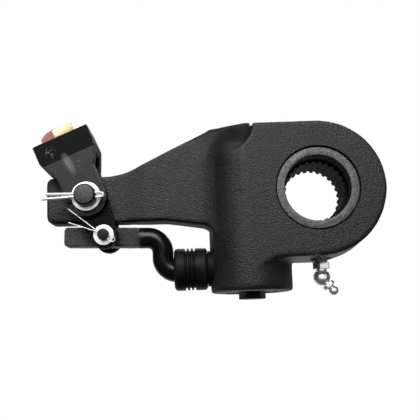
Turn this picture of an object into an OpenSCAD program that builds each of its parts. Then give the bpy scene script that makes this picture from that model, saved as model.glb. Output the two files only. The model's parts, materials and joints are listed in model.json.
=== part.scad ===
// Automatic brake slack adjuster with a control rod, in millimetres.
// The origin is the centre of the camshaft bore, on the middle plane of the casting.
// +X runs from the clevis pin to the head, +Z runs up the worm shaft and the camshaft lies along Y.

/* [Casting] */
// Distance from the clevis pin to the camshaft axis
arm_length = 139.7; // [136:0.1:144]
// How far the arm's eye end reaches past the clevis pin
arm_reach = 26; // [23:0.1:26.5]
// Half the height of the arm's eye end
arm_half_h = 14.1; // [13:0.1:14.4]
// Half the thickness of the arm between the clevis ears
arm_half_t = 8.1; // [7:0.05:8.3]
// Half the thickness of the arm's web
web_half_t = 10.3; // [9:0.1:12]
// Slope of the arm's upper edge, in degrees
arm_slope = 25.9; // [24:0.1:27]
// Outer radius of the head
head_r = 41; // [40.4:0.1:42]
// Half the width of the head along the camshaft
head_half_w = 25; // [24:0.1:26]
// Outer radius of the upright worm boss
boss_r = 25.1; // [24.6:0.1:26]
// Depth of the boss's lower end below the camshaft axis
boss_drop = 60; // [59.5:0.1:61]

/* [Worm drive] */
// Distance between the camshaft axis and the worm axis
centre_distance = 41; // [40.8:0.1:41.2]
// Teeth on the worm wheel
wheel_teeth = 24; // [22:1:26]
// Pitch radius of the worm
worm_pitch_r = 10.6; // [10.4:0.1:10.8]
// Length of the worm's thread
worm_length = 36; // [30:1:36]
// Height of a gear tooth above its pitch line
addendum = 2.2; // [2:0.1:2.3]
// Play taken off each tooth of the worm drive
backlash = 0.4; // [0.35:0.05:0.6]
// Radius of the wheel's hub rings
hub_r = 24.8; // [24.5:0.1:25]
// Radius of the counterbore in the hub
counterbore_r = 20; // [19.5:0.1:20.5]
// Teeth of the camshaft spline
spline_teeth = 28; // [10:1:37]
// Radius at the root of the spline
spline_major_r = 19.05; // [18.8:0.05:19.3]
// Radius at the tips of the spline teeth
spline_minor_r = 18; // [17.6:0.1:18.2]
// Width across the flats of the adjusting hexagon
adjuster_flats = 14.3; // [12:0.1:14.6]

/* [Rack and control rod] */
// Depth of the rack's axis below the camshaft axis
rack_drop = 44.6; // [44.3:0.1:44.8]
// Teeth on the pinion
pinion_teeth = 12; // [12:1:12]
// Pitch radius of the pinion
pinion_pitch_r = 6.3; // [6.2:0.05:6.4]
// Radius of the control rod
rod_r = 6.3; // [6:0.1:6.4]
// Bend radius of the control rod's middle line
rod_bend = 9; // [8.5:0.1:9.2]
// Outer radius of the boot
boot_r = 13; // [12:0.1:13.5]

/* [Clevis] */
// Lean of the clevis away from upright, in degrees
clevis_tilt = 22.8; // [20:0.1:24]
// Half the overall width of the ears
ear_half_w = 19.05; // [18.5:0.05:20]
// Half the gap between the ears
gap_half = 8.75; // [8.6:0.05:9]
// Radius of the ears round the clevis pin
ear_r = 12.2; // [11.5:0.1:12.5]
// Distance from the clevis pin to the link pin
link_spacing = 25.3; // [24.8:0.1:25.8]
// Radius of the clevis pin
pin_r = 6.35; // [6:0.05:6.5]
// Radius of the link pin
link_pin_r = 3.175; // [3:0.025:3.3]
// Radius of the push rod thread's bore
thread_r = 7.3; // [7:0.05:7.5]
// Width across the flats of the lock nut
nut_flats = 22.4; // [21:0.1:24]

/* [Hidden] */
$fn = 64;
fit = 0.05;
over = 1;
blend = 0.15;

// Arm and casting
pin_x = -arm_length;
worm_x = -centre_distance;
eye_left = pin_x - arm_reach;
eye_corner_r = 4.2;
bushing_r = 8.5;
slope_top_x = -64.4;
crown_r = 25;
sweep_r = 45;
slope_foot_x = slope_top_x - (head_r - arm_half_h) / tan(arm_slope);
crown_t = crown_r * tan(arm_slope / 2);
sweep_t = sweep_r * tan(arm_slope / 2);
belly_start_x = -92;
belly_end_x = -71;
belly_drop = 3.4;
belly_angle = atan(belly_drop / (belly_end_x - belly_start_x));
armpit_r = 7;
arm_sag = [0.2, 0.8];
arm_root_x = -30;
arm_root_z = -30;
eye_taper_x = [-117, -105];
swell_x = [-74, -43];
swell_half_t = 23;
scoop_x = -54.5;
scoop_z = 41.5;
scoop_r = 16.7;
cheek_x = -19;
cheek_r = 32.8;
cheek_sweep = 38;
parting_y = 5;
parting_swell = 0.75;
parting_sink = 1;
boss_chamfer = 1;

// Wheel, cover and seals
wheel_pitch_r = centre_distance - worm_pitch_r;
lead = 2 * PI * wheel_pitch_r / wheel_teeth;
lead_angle = atan(lead / (2 * PI * worm_pitch_r));
tip_gap = 0.4;
dedendum = addendum + tip_gap;
pressure_angle = 20;
tooth_half = lead / 4 - backlash / 2;
wheel_half_w = 12.9;
hub_front_y = -23.8;
hub_rear_y = 23.2;
counterbore_depth = 15;
wheel_gap = 0.8;
cavity_r = wheel_pitch_r + addendum + wheel_gap;
cavity_front_y = -13.3;
cover_y = [13.4, 19.4];
cover_r = 35.5;
ring_t = 1.5;
ring_groove_r = 37.2;
ring_band = 2.4;
ring_eye_inset = 3;
ring_eye_turn = 9;
ring_eye_r = 2.9;
ring_hole_r = 1.2;
ring_gap_w = 4;
spanner_inset = 5;
spanner_r = 1.6;
spanner_depth = 2.5;
mouth_r = 25.7;
mouth_y = -21;
seal_wire_r = 0.85;
seal_groove_r = hub_r + 1.8;
seal_groove_half = 1;
front_seal_y = -17.5;
rear_seal_y = 17.2;

// Worm shaft, from the top down
worm_bore_r = worm_pitch_r + addendum + tip_gap;
worm_top_z = worm_length / 2;
washer_t = 1.1;
washer_clear = 0.3;
lower_washer_r = 7;
end_play = 0.4;
shoulder_z = worm_top_z + washer_t + end_play;
shaft_r = 4;
shaft_top_z = 31;
drum_r = 7.6;
drum_split_z = -28.2;
drum_gap = 0.2;
pinion_drum_z = -rack_drop + 7.6;
pinion_half_w = 6;
pinion_foot_z = -53.6;
retainer_top_z = -54.3;
retainer_r = 16;
retainer_foot_z = -boss_drop + 0.4;
tool_hole_x = 14;
tool_hole_r = 1.2;
tool_hole_depth = 3;
journal_r = 8.5;
hex_foot_z = -64.2;
hex_h = 5;
journal_foot_z = -boss_drop + 0.2;
seal_pocket_r = 12;
seal_pocket_t = 2.6;
key_w = 2.4;
key_h = 2.6;
key_z = 13;
spring_r = [8.05, 9.6];
spring_lead = 3;
spring_turns = 4.6;
spring_foot_z = -35;

// Rack, guide, boot and rod
pinion_module = 2 * pinion_pitch_r / pinion_teeth;
pinion_add = 0.8;
pinion_ded = 1.05;
rack_add = 0.75;
rack_ded = 1;
rack_play = 0.2;
rack_tooth_w = 8;
plunger_r = 7.5;
rack_r = 9.22;
port_r = rack_r + 0.1;
rack_x = [-52.2, -26];
rack_slot_x = -51.2;
rack_relief = 3;
port_end_x = -22;
fork_end_x = -77;
fork_half_w = 2.85;
fork_root_x = -65.5;
rack_pin_x = -72;
rack_pin_r = 2.5;
rack_pin_set = 0.5;
guide_x = [-69.5, -61.5];
guide_flange_x = [-67.9, -66.2];
guide_flange_r = 11.4;
boot_x = [-88.4, -68];
boot_wall = 2.2;
boot_lip_r = 9.1;
boot_groove = 1.6;
boot_groove_x = [-81, -78.5, -76];
boot_nose_r = 2.4;
boot_chamfer = 1.2;
boot_land = 2.6;
boot_web = 1.4;
rod_lean = 2;
tongue_half_w = 2.5;
tongue_r = 4.5;
tongue_end = 8;
rod_run = 14.6;
rod_drop = 1.7;
eye_clear = 0.55;
flat_half_h = 5.75;
flat_half_w = 6;
flat_corner_r = 2;
flat_right = -37.5;
flat_left = -84;

// Clevis and its pins
hub_half_w = 18.1;
hub_bottom = 25.5;
hub_corner = 30;
hub_step = 27.2;
hub_top = 42.1;
hub_top_half_w = 17.4;
neck_top = 16.8;
lobe_r = 8.3;
lobe_half_w = 15.5;
nut_h = 8.5;
nut_chamfer = [1, 1.4];
nut_turn = 16;
pin_front_y = -29;
pin_head_r = 9.5;
pin_head_t = 3.5;
pin_chamfer = 0.8;
washer_r = 8.9;
pin_washer_t = 1.7;
cotter_y = -24.6;
cotter_wire = 0.8;
cotter_hole_r = 1.8;
cotter_eye_r = 1.7;
cotter_eye_x = 8.9;
cotter_bend_x = -7.6;
cotter_ends = [-23.4, -25.8];
cotter_bends = [4, 2.5];
link_front_y = -22;
link_head_r = 5;
link_head_t = 2.6;
link_washer_r = 6.25;
link_washer_t = 1.3;
link_cotter_y = -19.6;
link_cotter_wire = 0.38;
link_cotter_turn = 29;
link_chamfer = 0.5;
link_hole_r = 0.98;
link_eye_r = 1.8;
link_eye_x = 5.6;
link_bend_x = -4.6;
link_ends = [-26.3, -22];
link_bends = [9.5, 9.5];
pin_x_link = pin_x + link_spacing * sin(clevis_tilt);
pin_z_link = -link_spacing * cos(clevis_tilt);

// Grease fitting
zerk_x = 2.4;
zerk_seat_z = -39.9;
zerk_hex_z = [-47.2, -43.1];
zerk_hex_flats = 9.6;
zerk_ball_z = -52.4;
zerk_ball_r = 5.2;
zerk_hex_turn = 15;
zerk_thread_r = 3;
zerk_collar_r = 4;
zerk_neck_r = 3.2;
zerk_duct_r = 1.2;
spotface_r = 6.8;
nipple_turn = 40;
nipple_stem_r = 2;
nipple_hex_flats = 7;
nipple_hex_z = [5.1, 7.4];
nipple_cone_r = 2.9;
nipple_waist_r = 1.9;
nipple_waist_z = 8.6;
nipple_ball_z = 10.7;
nipple_ball_r = 3;
nipple_duct_r = 1;
nipple_mouth_r = 0.6;
check_ball_r = 0.92;

// A circle's points from angle a0 to angle a1
function arc(x, y, r, a0, a1, n = 10) =
  [for (i = [0:n]) let (a = a0 + (a1 - a0) * i / n) [x + r * cos(a), y + r * sin(a)]];

// Corner radius of a hexagon from its width across the flats
function hex_r(flats) = flats / 2 / cos(30);

// Angle of the involute of base radius b where it reaches radius r, in degrees
function involute(b, r) = r <= b ? 0 : let (t = acos(b / r)) tan(t) * 180 / PI - t;

// Half the angle that an involute tooth takes up at radius r
function tooth_angle(r, pitch_r, half_t) =
  half_t / pitch_r * 180 / PI + involute(pitch_r * cos(pressure_angle), pitch_r)
  - involute(pitch_r * cos(pressure_angle), r);

// Outline of an involute gear
function gear(teeth, pitch_r, add, ded, half_t) =
  let (radii = [for (i = [0:3]) pitch_r - ded + (add + ded) * i / 3])
  [for (i = [0:teeth - 1], k = [0:7])
    let (r = radii[k < 4 ? k : 7 - k])
    let (a = 360 * i / teeth + (k < 4 ? -1 : 1) * tooth_angle(r, pitch_r, half_t))
    [r * cos(a), r * sin(a)]];

// Cross-section of the worm: the radius falls from crest to root on both sides of angle 0
function worm_radius(z) =
  let (crest = tooth_half - addendum * tan(pressure_angle))
  let (root = tooth_half + dedendum * tan(pressure_angle))
  worm_pitch_r + addendum - (addendum + dedendum) * min(1, max(0, (abs(z) - crest) / (root - crest)));

// Half the arm's thickness at x where it swells from the web to the head
function swell(x) =
  let (turn = 180 * (x - swell_x[0]) / (swell_x[1] - swell_x[0]))
  web_half_t + (swell_half_t - web_half_t) * (1 - cos(turn)) / 2;

// An outline in X and Z, extruded along Y
module along_y(y0, y1) { translate([0, y1, 0]) rotate([90, 0, 0]) linear_extrude(y1 - y0) children(); }

// Round bars along the three axes
module bar_x(r, x0, x1) { translate([x0, 0, 0]) rotate([0, 90, 0]) cylinder(r = r, h = x1 - x0); }
module bar_y(r, y0, y1) { translate([0, y1, 0]) rotate([90, 0, 0]) cylinder(r = r, h = y1 - y0); }
module bar_z(r, z0, z1) { translate([0, 0, z0]) cylinder(r = r, h = z1 - z0); }

// Flat rings along Y and Z
module ring_y(r0, r1, y0, y1) {
  difference() {
    bar_y(r1, y0, y1);
    bar_y(r0, y0 - over, y1 + over);
  }
}
module ring_z(r0, r1, z0, z1) {
  difference() {
    bar_z(r1, z0, z1);
    bar_z(r0, z0 - over, z1 + over);
  }
}

module at_worm() { translate([worm_x, 0, 0]) children(); }
module at_rack() { translate([0, 0, -rack_drop]) children(); }
module at_clevis() { translate([pin_x, 0, 0]) rotate([0, -clevis_tilt, 0]) children(); }

// Side outline of the arm, from the eye end's lower corner round to its upper corner
module arm_outline() {
  eye_low = -arm_half_h - arm_sag[0];
  web_low = -arm_half_h - arm_sag[1];
  polygon(concat(
    arc(eye_left + eye_corner_r, eye_low + eye_corner_r, eye_corner_r, 180, 270, 6),
    [[belly_start_x, web_low]],
    arc(belly_end_x, web_low - belly_drop - armpit_r, armpit_r, 90 - belly_angle, 0, 8),
    [[arm_root_x, arm_root_z], [arm_root_x, head_r]],
    arc(slope_top_x + crown_t, head_r - crown_r, crown_r, 90, 90 + arm_slope, 8),
    arc(slope_foot_x - sweep_t, arm_half_h + sweep_r, sweep_r, 270 + arm_slope, 270, 8),
    arc(eye_left + eye_corner_r, arm_half_h - eye_corner_r, eye_corner_r, 90, 180, 6)));
}

// Plan of the arm: thin between the clevis ears, then the web, then the swell into the head
module arm_plan() {
  front = concat(
    [[eye_left - over, -arm_half_t], [eye_taper_x[0], -arm_half_t], [eye_taper_x[1], -web_half_t]],
    [for (i = [0:10]) let (x = swell_x[0] + (swell_x[1] - swell_x[0]) * i / 10) [x, -swell(x)]],
    [[arm_root_x + over, -swell_half_t]]);
  rear = [for (i = [len(front) - 1:-1:0]) [front[i][0], -front[i][1]]];
  polygon(concat(front, rear));
}

// Front outline of the head: the round end, the straight top and the cheek that runs down to the boss
module head_outline() {
  circle(r = head_r);
  polygon(concat([[0, head_r], [worm_x, head_r], [worm_x, -head_r - 8]],
    arc(cheek_x, -head_r - cheek_r, cheek_r, 90 + cheek_sweep, 90, 10), [[0, -head_r]]));
}

// Round belt of the head: the sides draft away on both hands of the parting line
module head_belt() {
  half = head_half_w - over;
  rotate([-90, 0, 0]) rotate_extrude() polygon([[0, -half], [head_r - parting_sink, -half],
    [head_r + parting_swell, parting_y], [head_r - parting_sink, half], [0, half]]);
}

module casting_solid() {
  difference() {
    union() {
      along_y(-head_half_w, head_half_w) head_outline();
      head_belt();
      at_worm() bar_z(boss_r, boss_chamfer - boss_drop, head_r);
      at_worm() translate([0, 0, -boss_drop])
        cylinder(r1 = boss_r - boss_chamfer, r2 = boss_r, h = boss_chamfer);
    }
    for (side = [-1, 1])
      translate([scoop_x, side * (boss_r + web_half_t) / 2, scoop_z])
        bar_y(scoop_r, web_half_t / 2 - boss_r / 2, boss_r / 2 - web_half_t / 2 + over);
  }
  intersection() {
    along_y(-head_half_w, head_half_w) arm_outline();
    translate([0, 0, -boss_drop]) linear_extrude(boss_drop + head_r + over) arm_plan();
  }
}

module housing() {
  color("dimgray") difference() {
    casting_solid();
    bar_y(cavity_r, cavity_front_y, cover_y[0]);
    bar_y(cover_r + fit, cover_y[0] - fit, head_half_w + over);
    bar_y(ring_groove_r, cover_y[1], cover_y[1] + ring_t + fit);
    bar_y(hub_r + fit, -head_half_w - over, cavity_front_y + over);
    bar_y(mouth_r, -head_half_w - over, mouth_y);
    bar_y(seal_groove_r, front_seal_y - seal_groove_half, front_seal_y + seal_groove_half);
    at_worm() bar_z(worm_bore_r, -boss_drop - over, shoulder_z);
    at_worm() bar_z(shaft_r + fit, shoulder_z - over, shaft_top_z + over);
    at_worm() bar_z(retainer_r, -boss_drop - over, retainer_top_z);
    at_rack() bar_x(port_r, worm_x - boss_r - over, port_end_x);
    translate([pin_x, 0, 0]) bar_y(bushing_r, -head_half_w, head_half_w);
    translate([zerk_x, 0, 0]) bar_z(zerk_thread_r, -head_r - over, -cavity_r + over);
    translate([zerk_x, 0, 0]) bar_z(spotface_r, -head_r - over, zerk_seat_z);
  }
}

module arm_bushing() {
  color("peru") translate([pin_x, 0, 0]) ring_y(pin_r + fit, bushing_r, -arm_half_t, arm_half_t);
}

// Internal spline: tips on the minor radius, grooves out to the major radius
module spline_outline() {
  step = 360 / spline_teeth;
  polygon([for (i = [0:spline_teeth - 1], k = [-0.3, -0.18, 0.18, 0.3])
    let (r = abs(k) > 0.2 ? spline_minor_r : spline_major_r)
    [r * cos(step * (i + k)), r * sin(step * (i + k))]]);
}

module worm_wheel() {
  twist = wheel_half_w * 2 * tan(lead_angle) / wheel_pitch_r * 180 / PI;
  color("slategray") difference() {
    union() {
      bar_y(hub_r, hub_front_y, hub_rear_y);
      translate([0, -wheel_half_w, 0]) rotate([-90, 0, 0]) rotate([0, 0, 180 / wheel_teeth - twist / 2])
        linear_extrude(2 * wheel_half_w, twist = -twist, slices = 3, $fn = 0)
          polygon(gear(wheel_teeth, wheel_pitch_r, addendum, dedendum, tooth_half));
    }
    along_y(hub_front_y - over, hub_rear_y + over) spline_outline();
    bar_y(counterbore_r, hub_front_y - over, hub_front_y + counterbore_depth);
  }
}

module hub_seal(y) {
  translate([0, y, 0]) rotate([90, 0, 0]) rotate_extrude() translate([hub_r + 2 * fit + seal_wire_r, 0])
    circle(r = seal_wire_r, $fn = 24);
}

module front_seal() { color("black") hub_seal(front_seal_y); }

module rear_seal() { color("black") hub_seal(rear_seal_y); }

module rear_cover() {
  color("gray") difference() {
    bar_y(cover_r, cover_y[0], cover_y[1]);
    bar_y(hub_r + fit, cover_y[0] - over, cover_y[1] + over);
    bar_y(seal_groove_r, rear_seal_y - seal_groove_half, rear_seal_y + seal_groove_half);
    for (a = [45, 225])
      rotate([0, a, 0]) translate([cover_r - spanner_inset, 0, 0])
        bar_y(spanner_r, cover_y[1] - spanner_depth, cover_y[1] + over);
  }
}

// Split retaining ring with two plier eyes beside its gap
module cover_ring() {
  eye_x = cover_r - ring_eye_inset;
  color("silver") rotate([0, 90, 0]) difference() {
    union() {
      ring_y(cover_r - ring_band, ring_groove_r - fit, cover_y[1], cover_y[1] + ring_t);
      for (a = [-ring_eye_turn, ring_eye_turn])
        rotate([0, a, 0]) translate([eye_x, 0, 0]) bar_y(ring_eye_r, cover_y[1], cover_y[1] + ring_t);
    }
    for (a = [-ring_eye_turn, ring_eye_turn])
      rotate([0, a, 0]) translate([eye_x, 0, 0])
        bar_y(ring_hole_r, cover_y[1] - over, cover_y[1] + ring_t + over);
    translate([eye_x - 2 * ring_eye_r, cover_y[1] - over, -ring_gap_w / 2])
      cube([4 * ring_eye_r, ring_t + 2 * over, ring_gap_w]);
  }
}

// Right-hand single-start worm with the clutch drum under it
module worm() {
  turns = worm_length / lead;
  points = 24;
  color("lightsteelblue") at_worm() difference() {
    union() {
      translate([0, 0, -worm_length / 2]) rotate([0, 0, -180 * turns])
        linear_extrude(worm_length, twist = -360 * turns, slices = ceil(18 * turns), $fn = 0)
          polygon([for (i = [0:points - 1]) let (a = 360 * i / points - 180)
            worm_radius(lead * a / 360) * [cos(a), sin(a)]]);
      bar_z(drum_r, drum_split_z + drum_gap, over - worm_length / 2);
    }
    bar_z(shaft_r, -worm_length, worm_length);
    key_slot();
  }
}

module key_slot() { translate([-key_w / 2, shaft_r - key_h / 2, -key_z]) cube([key_w, key_h, 2 * key_z]); }

module worm_key() { color("gray") at_worm() key_slot(); }

module adjusting_shaft() {
  color("#2c2c2c") at_worm() difference() {
    union() {
      bar_z(shaft_r, retainer_top_z, shaft_top_z);
      bar_z(journal_r - fit, journal_foot_z, retainer_top_z);
      translate([0, 0, hex_foot_z]) cylinder(r = hex_r(adjuster_flats), h = hex_h, $fn = 6);
    }
    key_slot();
  }
}

module upper_thrust_washer() {
  color("goldenrod") at_worm()
    ring_z(shaft_r + washer_clear, worm_bore_r - 2 * washer_clear, shoulder_z - washer_t, shoulder_z);
}

module lower_thrust_washer() {
  color("goldenrod") at_worm()
    ring_z(shaft_r + washer_clear, lower_washer_r, retainer_top_z, pinion_foot_z - 2 * fit);
}

module pinion() {
  half_t = PI * pinion_module / 4 - rack_play;
  color("steelblue") at_worm() difference() {
    union() {
      translate([0, 0, -rack_drop - pinion_half_w]) rotate([0, 0, 90]) linear_extrude(2 * pinion_half_w)
        polygon(gear(pinion_teeth, pinion_pitch_r, pinion_add, pinion_ded, half_t));
      bar_z(pinion_pitch_r - pinion_ded, pinion_foot_z, drum_split_z - drum_gap);
      bar_z(drum_r, pinion_drum_z, drum_split_z - drum_gap);
    }
    bar_z(shaft_r + fit, -boss_drop, 0);
  }
}

// One-way wrap spring of square wire, round both drums
module clutch_spring() {
  span = 250;
  wire = concat(arc(0, 0, spring_r[1], 0, span, 9), arc(0, 0, spring_r[0], span, 0, 9));
  color("darkgray") at_worm() translate([0, 0, spring_foot_z])
    linear_extrude(spring_lead * spring_turns, twist = -360 * spring_turns,
      slices = ceil(12 * spring_turns), $fn = 0) polygon(wire);
}

module shaft_retainer() {
  color("#404040") at_worm() difference() {
    ring_z(journal_r, retainer_r, retainer_foot_z, retainer_top_z);
    bar_z(seal_pocket_r, -boss_drop, retainer_foot_z + seal_pocket_t);
    for (side = [-1, 1])
      translate([side * tool_hole_x, 0, 0])
        bar_z(tool_hole_r, -boss_drop, retainer_foot_z + tool_hole_depth);
  }
}

module shaft_seal() {
  color("black") at_worm()
    ring_z(journal_r + fit, seal_pocket_r, retainer_foot_z + 4 * fit, retainer_foot_z + seal_pocket_t);
}

// Straight-sided rack teeth that face the pinion, a tooth space on the pinion's own tooth
module rack_teeth() {
  pitch = PI * pinion_module;
  half = pitch / 4 - rack_play;
  tip = half - rack_add * tan(pressure_angle);
  root = half + rack_ded * tan(pressure_angle);
  for (i = [-2:4])
    translate([worm_x + (i - 0.5) * pitch, pinion_pitch_r])
      polygon([[-root, rack_ded + over / 2], [-root, rack_ded], [-tip, -rack_add], [tip, -rack_add],
        [root, rack_ded], [root, rack_ded + over / 2]]);
}

// Round plunger with a fork for the rod, and a slotted bar with the teeth cut in its rear wall
module rack() {
  back_y = pinion_pitch_r + rack_ded;
  color("darkslategray") at_rack() difference() {
    union() {
      bar_x(plunger_r, fork_end_x, rack_x[0] + over);
      difference() {
        bar_x(rack_r, rack_x[0], rack_x[1]);
        translate([rack_slot_x, -rack_r - over, -rack_r])
          cube([rack_x[1] - rack_x[0], rack_r + over + back_y, 2 * rack_r]);
      }
      intersection() {
        translate([0, 0, -rack_tooth_w / 2]) linear_extrude(rack_tooth_w) rack_teeth();
        bar_x(rack_r, rack_slot_x, rack_x[1]);
      }
    }
    translate([rack_slot_x, -rack_r, -rack_r])
      cube([rack_relief, rack_r + pinion_pitch_r - rack_add, 2 * rack_r]);
    translate([fork_end_x - over, -fork_half_w, -rack_r])
      cube([fork_root_x - fork_end_x + over, 2 * fork_half_w, 2 * rack_r]);
    translate([rack_pin_x, 0, 0]) bar_y(rack_pin_r, -rack_r, rack_r);
  }
}

module rack_pin() {
  half = plunger_r - rack_pin_set;
  color("silver") at_rack() translate([rack_pin_x, 0, 0]) bar_y(rack_pin_r, -half, half);
}

// Bush in the port, with a flange between the boss and the boot
module rod_guide() {
  color("black") at_rack() difference() {
    union() {
      bar_x(port_r, guide_x[0], guide_x[1]);
      bar_x(guide_flange_r, guide_flange_x[0], guide_flange_x[1]);
    }
    bar_x(plunger_r + fit, guide_x[0] - over, guide_x[1] + over);
  }
}

// Ribbed rubber boot, revolved about the rack's axis
module boot() {
  x0 = boot_x[0];
  x1 = boot_x[1];
  inner_r = boot_r - boot_groove - boot_web;
  grooves = [for (g = boot_groove_x, k = [[-0.75, 0], [-0.4, 1], [0.4, 1], [0.75, 0]])
    [boot_r - boot_groove * k[1], g + k[0]]];
  nose = arc(boot_r - boot_nose_r, x0 + boot_nose_r, boot_nose_r, -90, 0, 4);
  neck_r = port_r + fit;
  foot = [[boot_r, x1 - boot_chamfer], [boot_r - boot_chamfer, x1], [neck_r, x1], [neck_r, x1 - boot_land]];
  inside = [[inner_r, x1 - boot_land - boot_wall], [inner_r, x0 + boot_wall + over],
    [boot_lip_r, x0 + boot_wall]];
  color("#181818") at_rack() rotate([0, 90, 0]) rotate_extrude()
    polygon(concat([[boot_lip_r, x0]], nose, grooves, foot, inside));
}

// S-bent rod: a tongue for the rack's fork, a leg set below it, two equal bends and a flat bar with an eye
module control_rod() {
  dx = pin_x_link - rack_pin_x;
  dz = pin_z_link + rack_drop;
  eye_x = dx * cos(rod_lean) - dz * sin(rod_lean);
  rise = round(100 * (dx * sin(rod_lean) + dz * cos(rod_lean))) / 100;
  riser_x = -rod_run - rod_bend;
  color("#202020") translate([rack_pin_x, 0, -rack_drop]) rotate([0, rod_lean, 0]) difference() {
    union() {
      bar_y(tongue_r, -tongue_half_w, tongue_half_w);
      translate([-tongue_end - over, -tongue_half_w, -tongue_r])
        cube([tongue_end + over, 2 * tongue_half_w, 2 * tongue_r]);
      translate([0, 0, -rod_drop]) bar_x(rod_r, -rod_run, -tongue_end);
      translate([-rod_run, 0, rod_bend - rod_drop]) rotate([90, 0, 0]) rotate([0, 0, 180])
        rotate_extrude(angle = 90) translate([rod_bend, 0]) circle(r = rod_r);
      translate([riser_x, 0, 0]) bar_z(rod_r, rod_bend - rod_drop, rise - rod_bend);
      translate([riser_x - rod_bend, 0, rise - rod_bend]) rotate([90, 0, 0])
        rotate_extrude(angle = 90) translate([rod_bend, 0]) circle(r = rod_r);
      translate([0, 0, rise]) bar_x(rod_r, flat_right - over, riser_x - rod_bend);
      translate([(flat_left + flat_right) / 2, 0, rise]) along_y(-flat_half_w, flat_half_w)
        rounded_bar((flat_right - flat_left) / 2, flat_half_h, flat_corner_r);
    }
    translate([eye_x, 0, rise]) bar_y(link_pin_r + eye_clear, -rod_r - over, rod_r + over);
    bar_y(rack_pin_r + fit, -rod_r, rod_r);
  }
}

// A bar's outline with rounded corners
module rounded_bar(half_l, half_h, r) {
  polygon(concat(arc(half_l - r, half_h - r, r, 0, 90, 4), arc(r - half_l, half_h - r, r, 90, 180, 4),
    arc(r - half_l, r - half_h, r, 180, 270, 4), arc(half_l - r, r - half_h, r, 270, 360, 4)));
}

// Front outline of the clevis: hub, tapered neck and the round ears
module clevis_outline() {
  side = ear_r - blend;
  circle(r = ear_r);
  polygon([[-side, 0], [side, 0], [side, neck_top], [hub_half_w, hub_corner], [hub_half_w, hub_top + over],
    [-hub_half_w, hub_top + over], [-hub_half_w, hub_corner], [-side, neck_top]]);
}

// Outline of the lobes that carry the link pin: their tapered sides run out of the ears
module lobe_outline() {
  translate([0, -link_spacing]) circle(r = lobe_r);
  polygon([[blend - ear_r, 0], [ear_r - blend, 0], [lobe_r - blend, -link_spacing],
    [blend - lobe_r, -link_spacing]]);
}

module clevis() {
  color("#262626") at_clevis() difference() {
    union() {
      intersection() {
        along_y(-ear_half_w - over, ear_half_w + over) clevis_outline();
        rotate([90, 0, 90]) linear_extrude(2 * hub_top, center = true)
          polygon([[-ear_half_w, -ear_r - over], [ear_half_w, -ear_r - over], [ear_half_w, hub_step],
            [hub_top_half_w, hub_top], [-hub_top_half_w, hub_top], [-ear_half_w, hub_step]]);
      }
      along_y(-lobe_half_w, lobe_half_w) lobe_outline();
    }
    translate([-hub_top, -gap_half, -hub_top]) cube([2 * hub_top, 2 * gap_half, hub_top + hub_bottom]);
    bar_z(thread_r, 0, hub_top + over);
    bar_y(pin_r + fit, -ear_half_w - over, ear_half_w + over);
    translate([0, 0, -link_spacing]) bar_y(link_pin_r + fit, -ear_half_w, ear_half_w);
  }
}

module lock_nut() {
  r = hex_r(nut_flats);
  color("#d9b45a") at_clevis() translate([0, 0, hub_top]) difference() {
    intersection() {
      rotate([0, 0, nut_turn]) cylinder(r = r, h = nut_h, $fn = 6);
      rotate_extrude() polygon([[0, 0], [nut_flats / 2, 0], [r + 4 * fit, nut_chamfer[0]],
        [r + 4 * fit, nut_h - nut_chamfer[1]], [nut_flats / 2, nut_h], [0, nut_h]]);
    }
    bar_z(thread_r, -over, nut_h + over);
  }
}

// Headed pin along Y, with a chamfered front end and a cross hole for its cotter
module headed_pin(r, front, rear, head_r, head_t, chamfer, hole_y, hole_r, hole_turn) {
  difference() {
    union() {
      bar_y(r, front + chamfer, rear + over);
      translate([0, front + chamfer, 0]) rotate([90, 0, 0]) cylinder(r1 = r, r2 = r - chamfer, h = chamfer);
      bar_y(head_r, rear, rear + head_t);
    }
    translate([0, hole_y, 0]) rotate([0, hole_turn, 0]) bar_x(hole_r, -2 * r, 2 * r);
  }
}

module clevis_pin() {
  color("#8f8f8f") translate([pin_x, 0, 0])
    headed_pin(pin_r, pin_front_y, ear_half_w + fit, pin_head_r, pin_head_t, pin_chamfer, cotter_y,
      cotter_hole_r, 0);
}

module clevis_pin_washer() {
  color("silver") translate([pin_x, 0, 0])
    ring_y(pin_r + 3 * fit, washer_r, -ear_half_w - fit - pin_washer_t, -ear_half_w - fit);
}

// One leg of a cotter, from the eye to its bent end: outer edge first, then the split edge back to the bend
function cotter_leg(wire, eye_x, bend_x, end_x, bend) =
  [[eye_x, 2 * wire], [bend_x + 2 * wire * tan(bend / 2), 2 * wire],
    [bend_x + (end_x - bend_x) * cos(bend) + 2 * wire * sin(bend),
      (bend_x - end_x) * sin(bend) + 2 * wire * cos(bend)],
    [bend_x + (end_x - bend_x) * cos(bend), (bend_x - end_x) * sin(bend)]];

// Split cotter along -X: a round eye, and two legs that part where they leave the pin
module cotter(wire, eye_r, eye_x, bend_x, ends, bends) {
  upper = cotter_leg(wire, eye_x - eye_r, bend_x, ends[0], bends[0]);
  lower = cotter_leg(wire, eye_x - eye_r, bend_x, ends[1], bends[1]);
  along_y(-wire, wire) {
    translate([eye_x, 0]) difference() {
      circle(r = eye_r + wire);
      circle(r = eye_r - wire);
    }
    polygon(concat(upper, [[bend_x, 0]], [for (i = [3:-1:0]) [lower[i][0], -lower[i][1]]]));
  }
}

module clevis_cotter() {
  color("gainsboro") translate([pin_x, cotter_y, 0])
    cotter(cotter_wire, cotter_eye_r, cotter_eye_x, cotter_bend_x, cotter_ends, cotter_bends);
}

module link_pin() {
  color("#8f8f8f") translate([pin_x_link, 0, pin_z_link])
    headed_pin(link_pin_r, link_front_y, lobe_half_w + fit, link_head_r, link_head_t, link_chamfer,
      link_cotter_y, link_hole_r, link_cotter_turn);
}

module link_pin_washer() {
  color("silver") translate([pin_x_link, 0, pin_z_link])
    ring_y(link_pin_r + 2 * fit, link_washer_r, -lobe_half_w - fit - link_washer_t, -lobe_half_w - fit);
}

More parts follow.
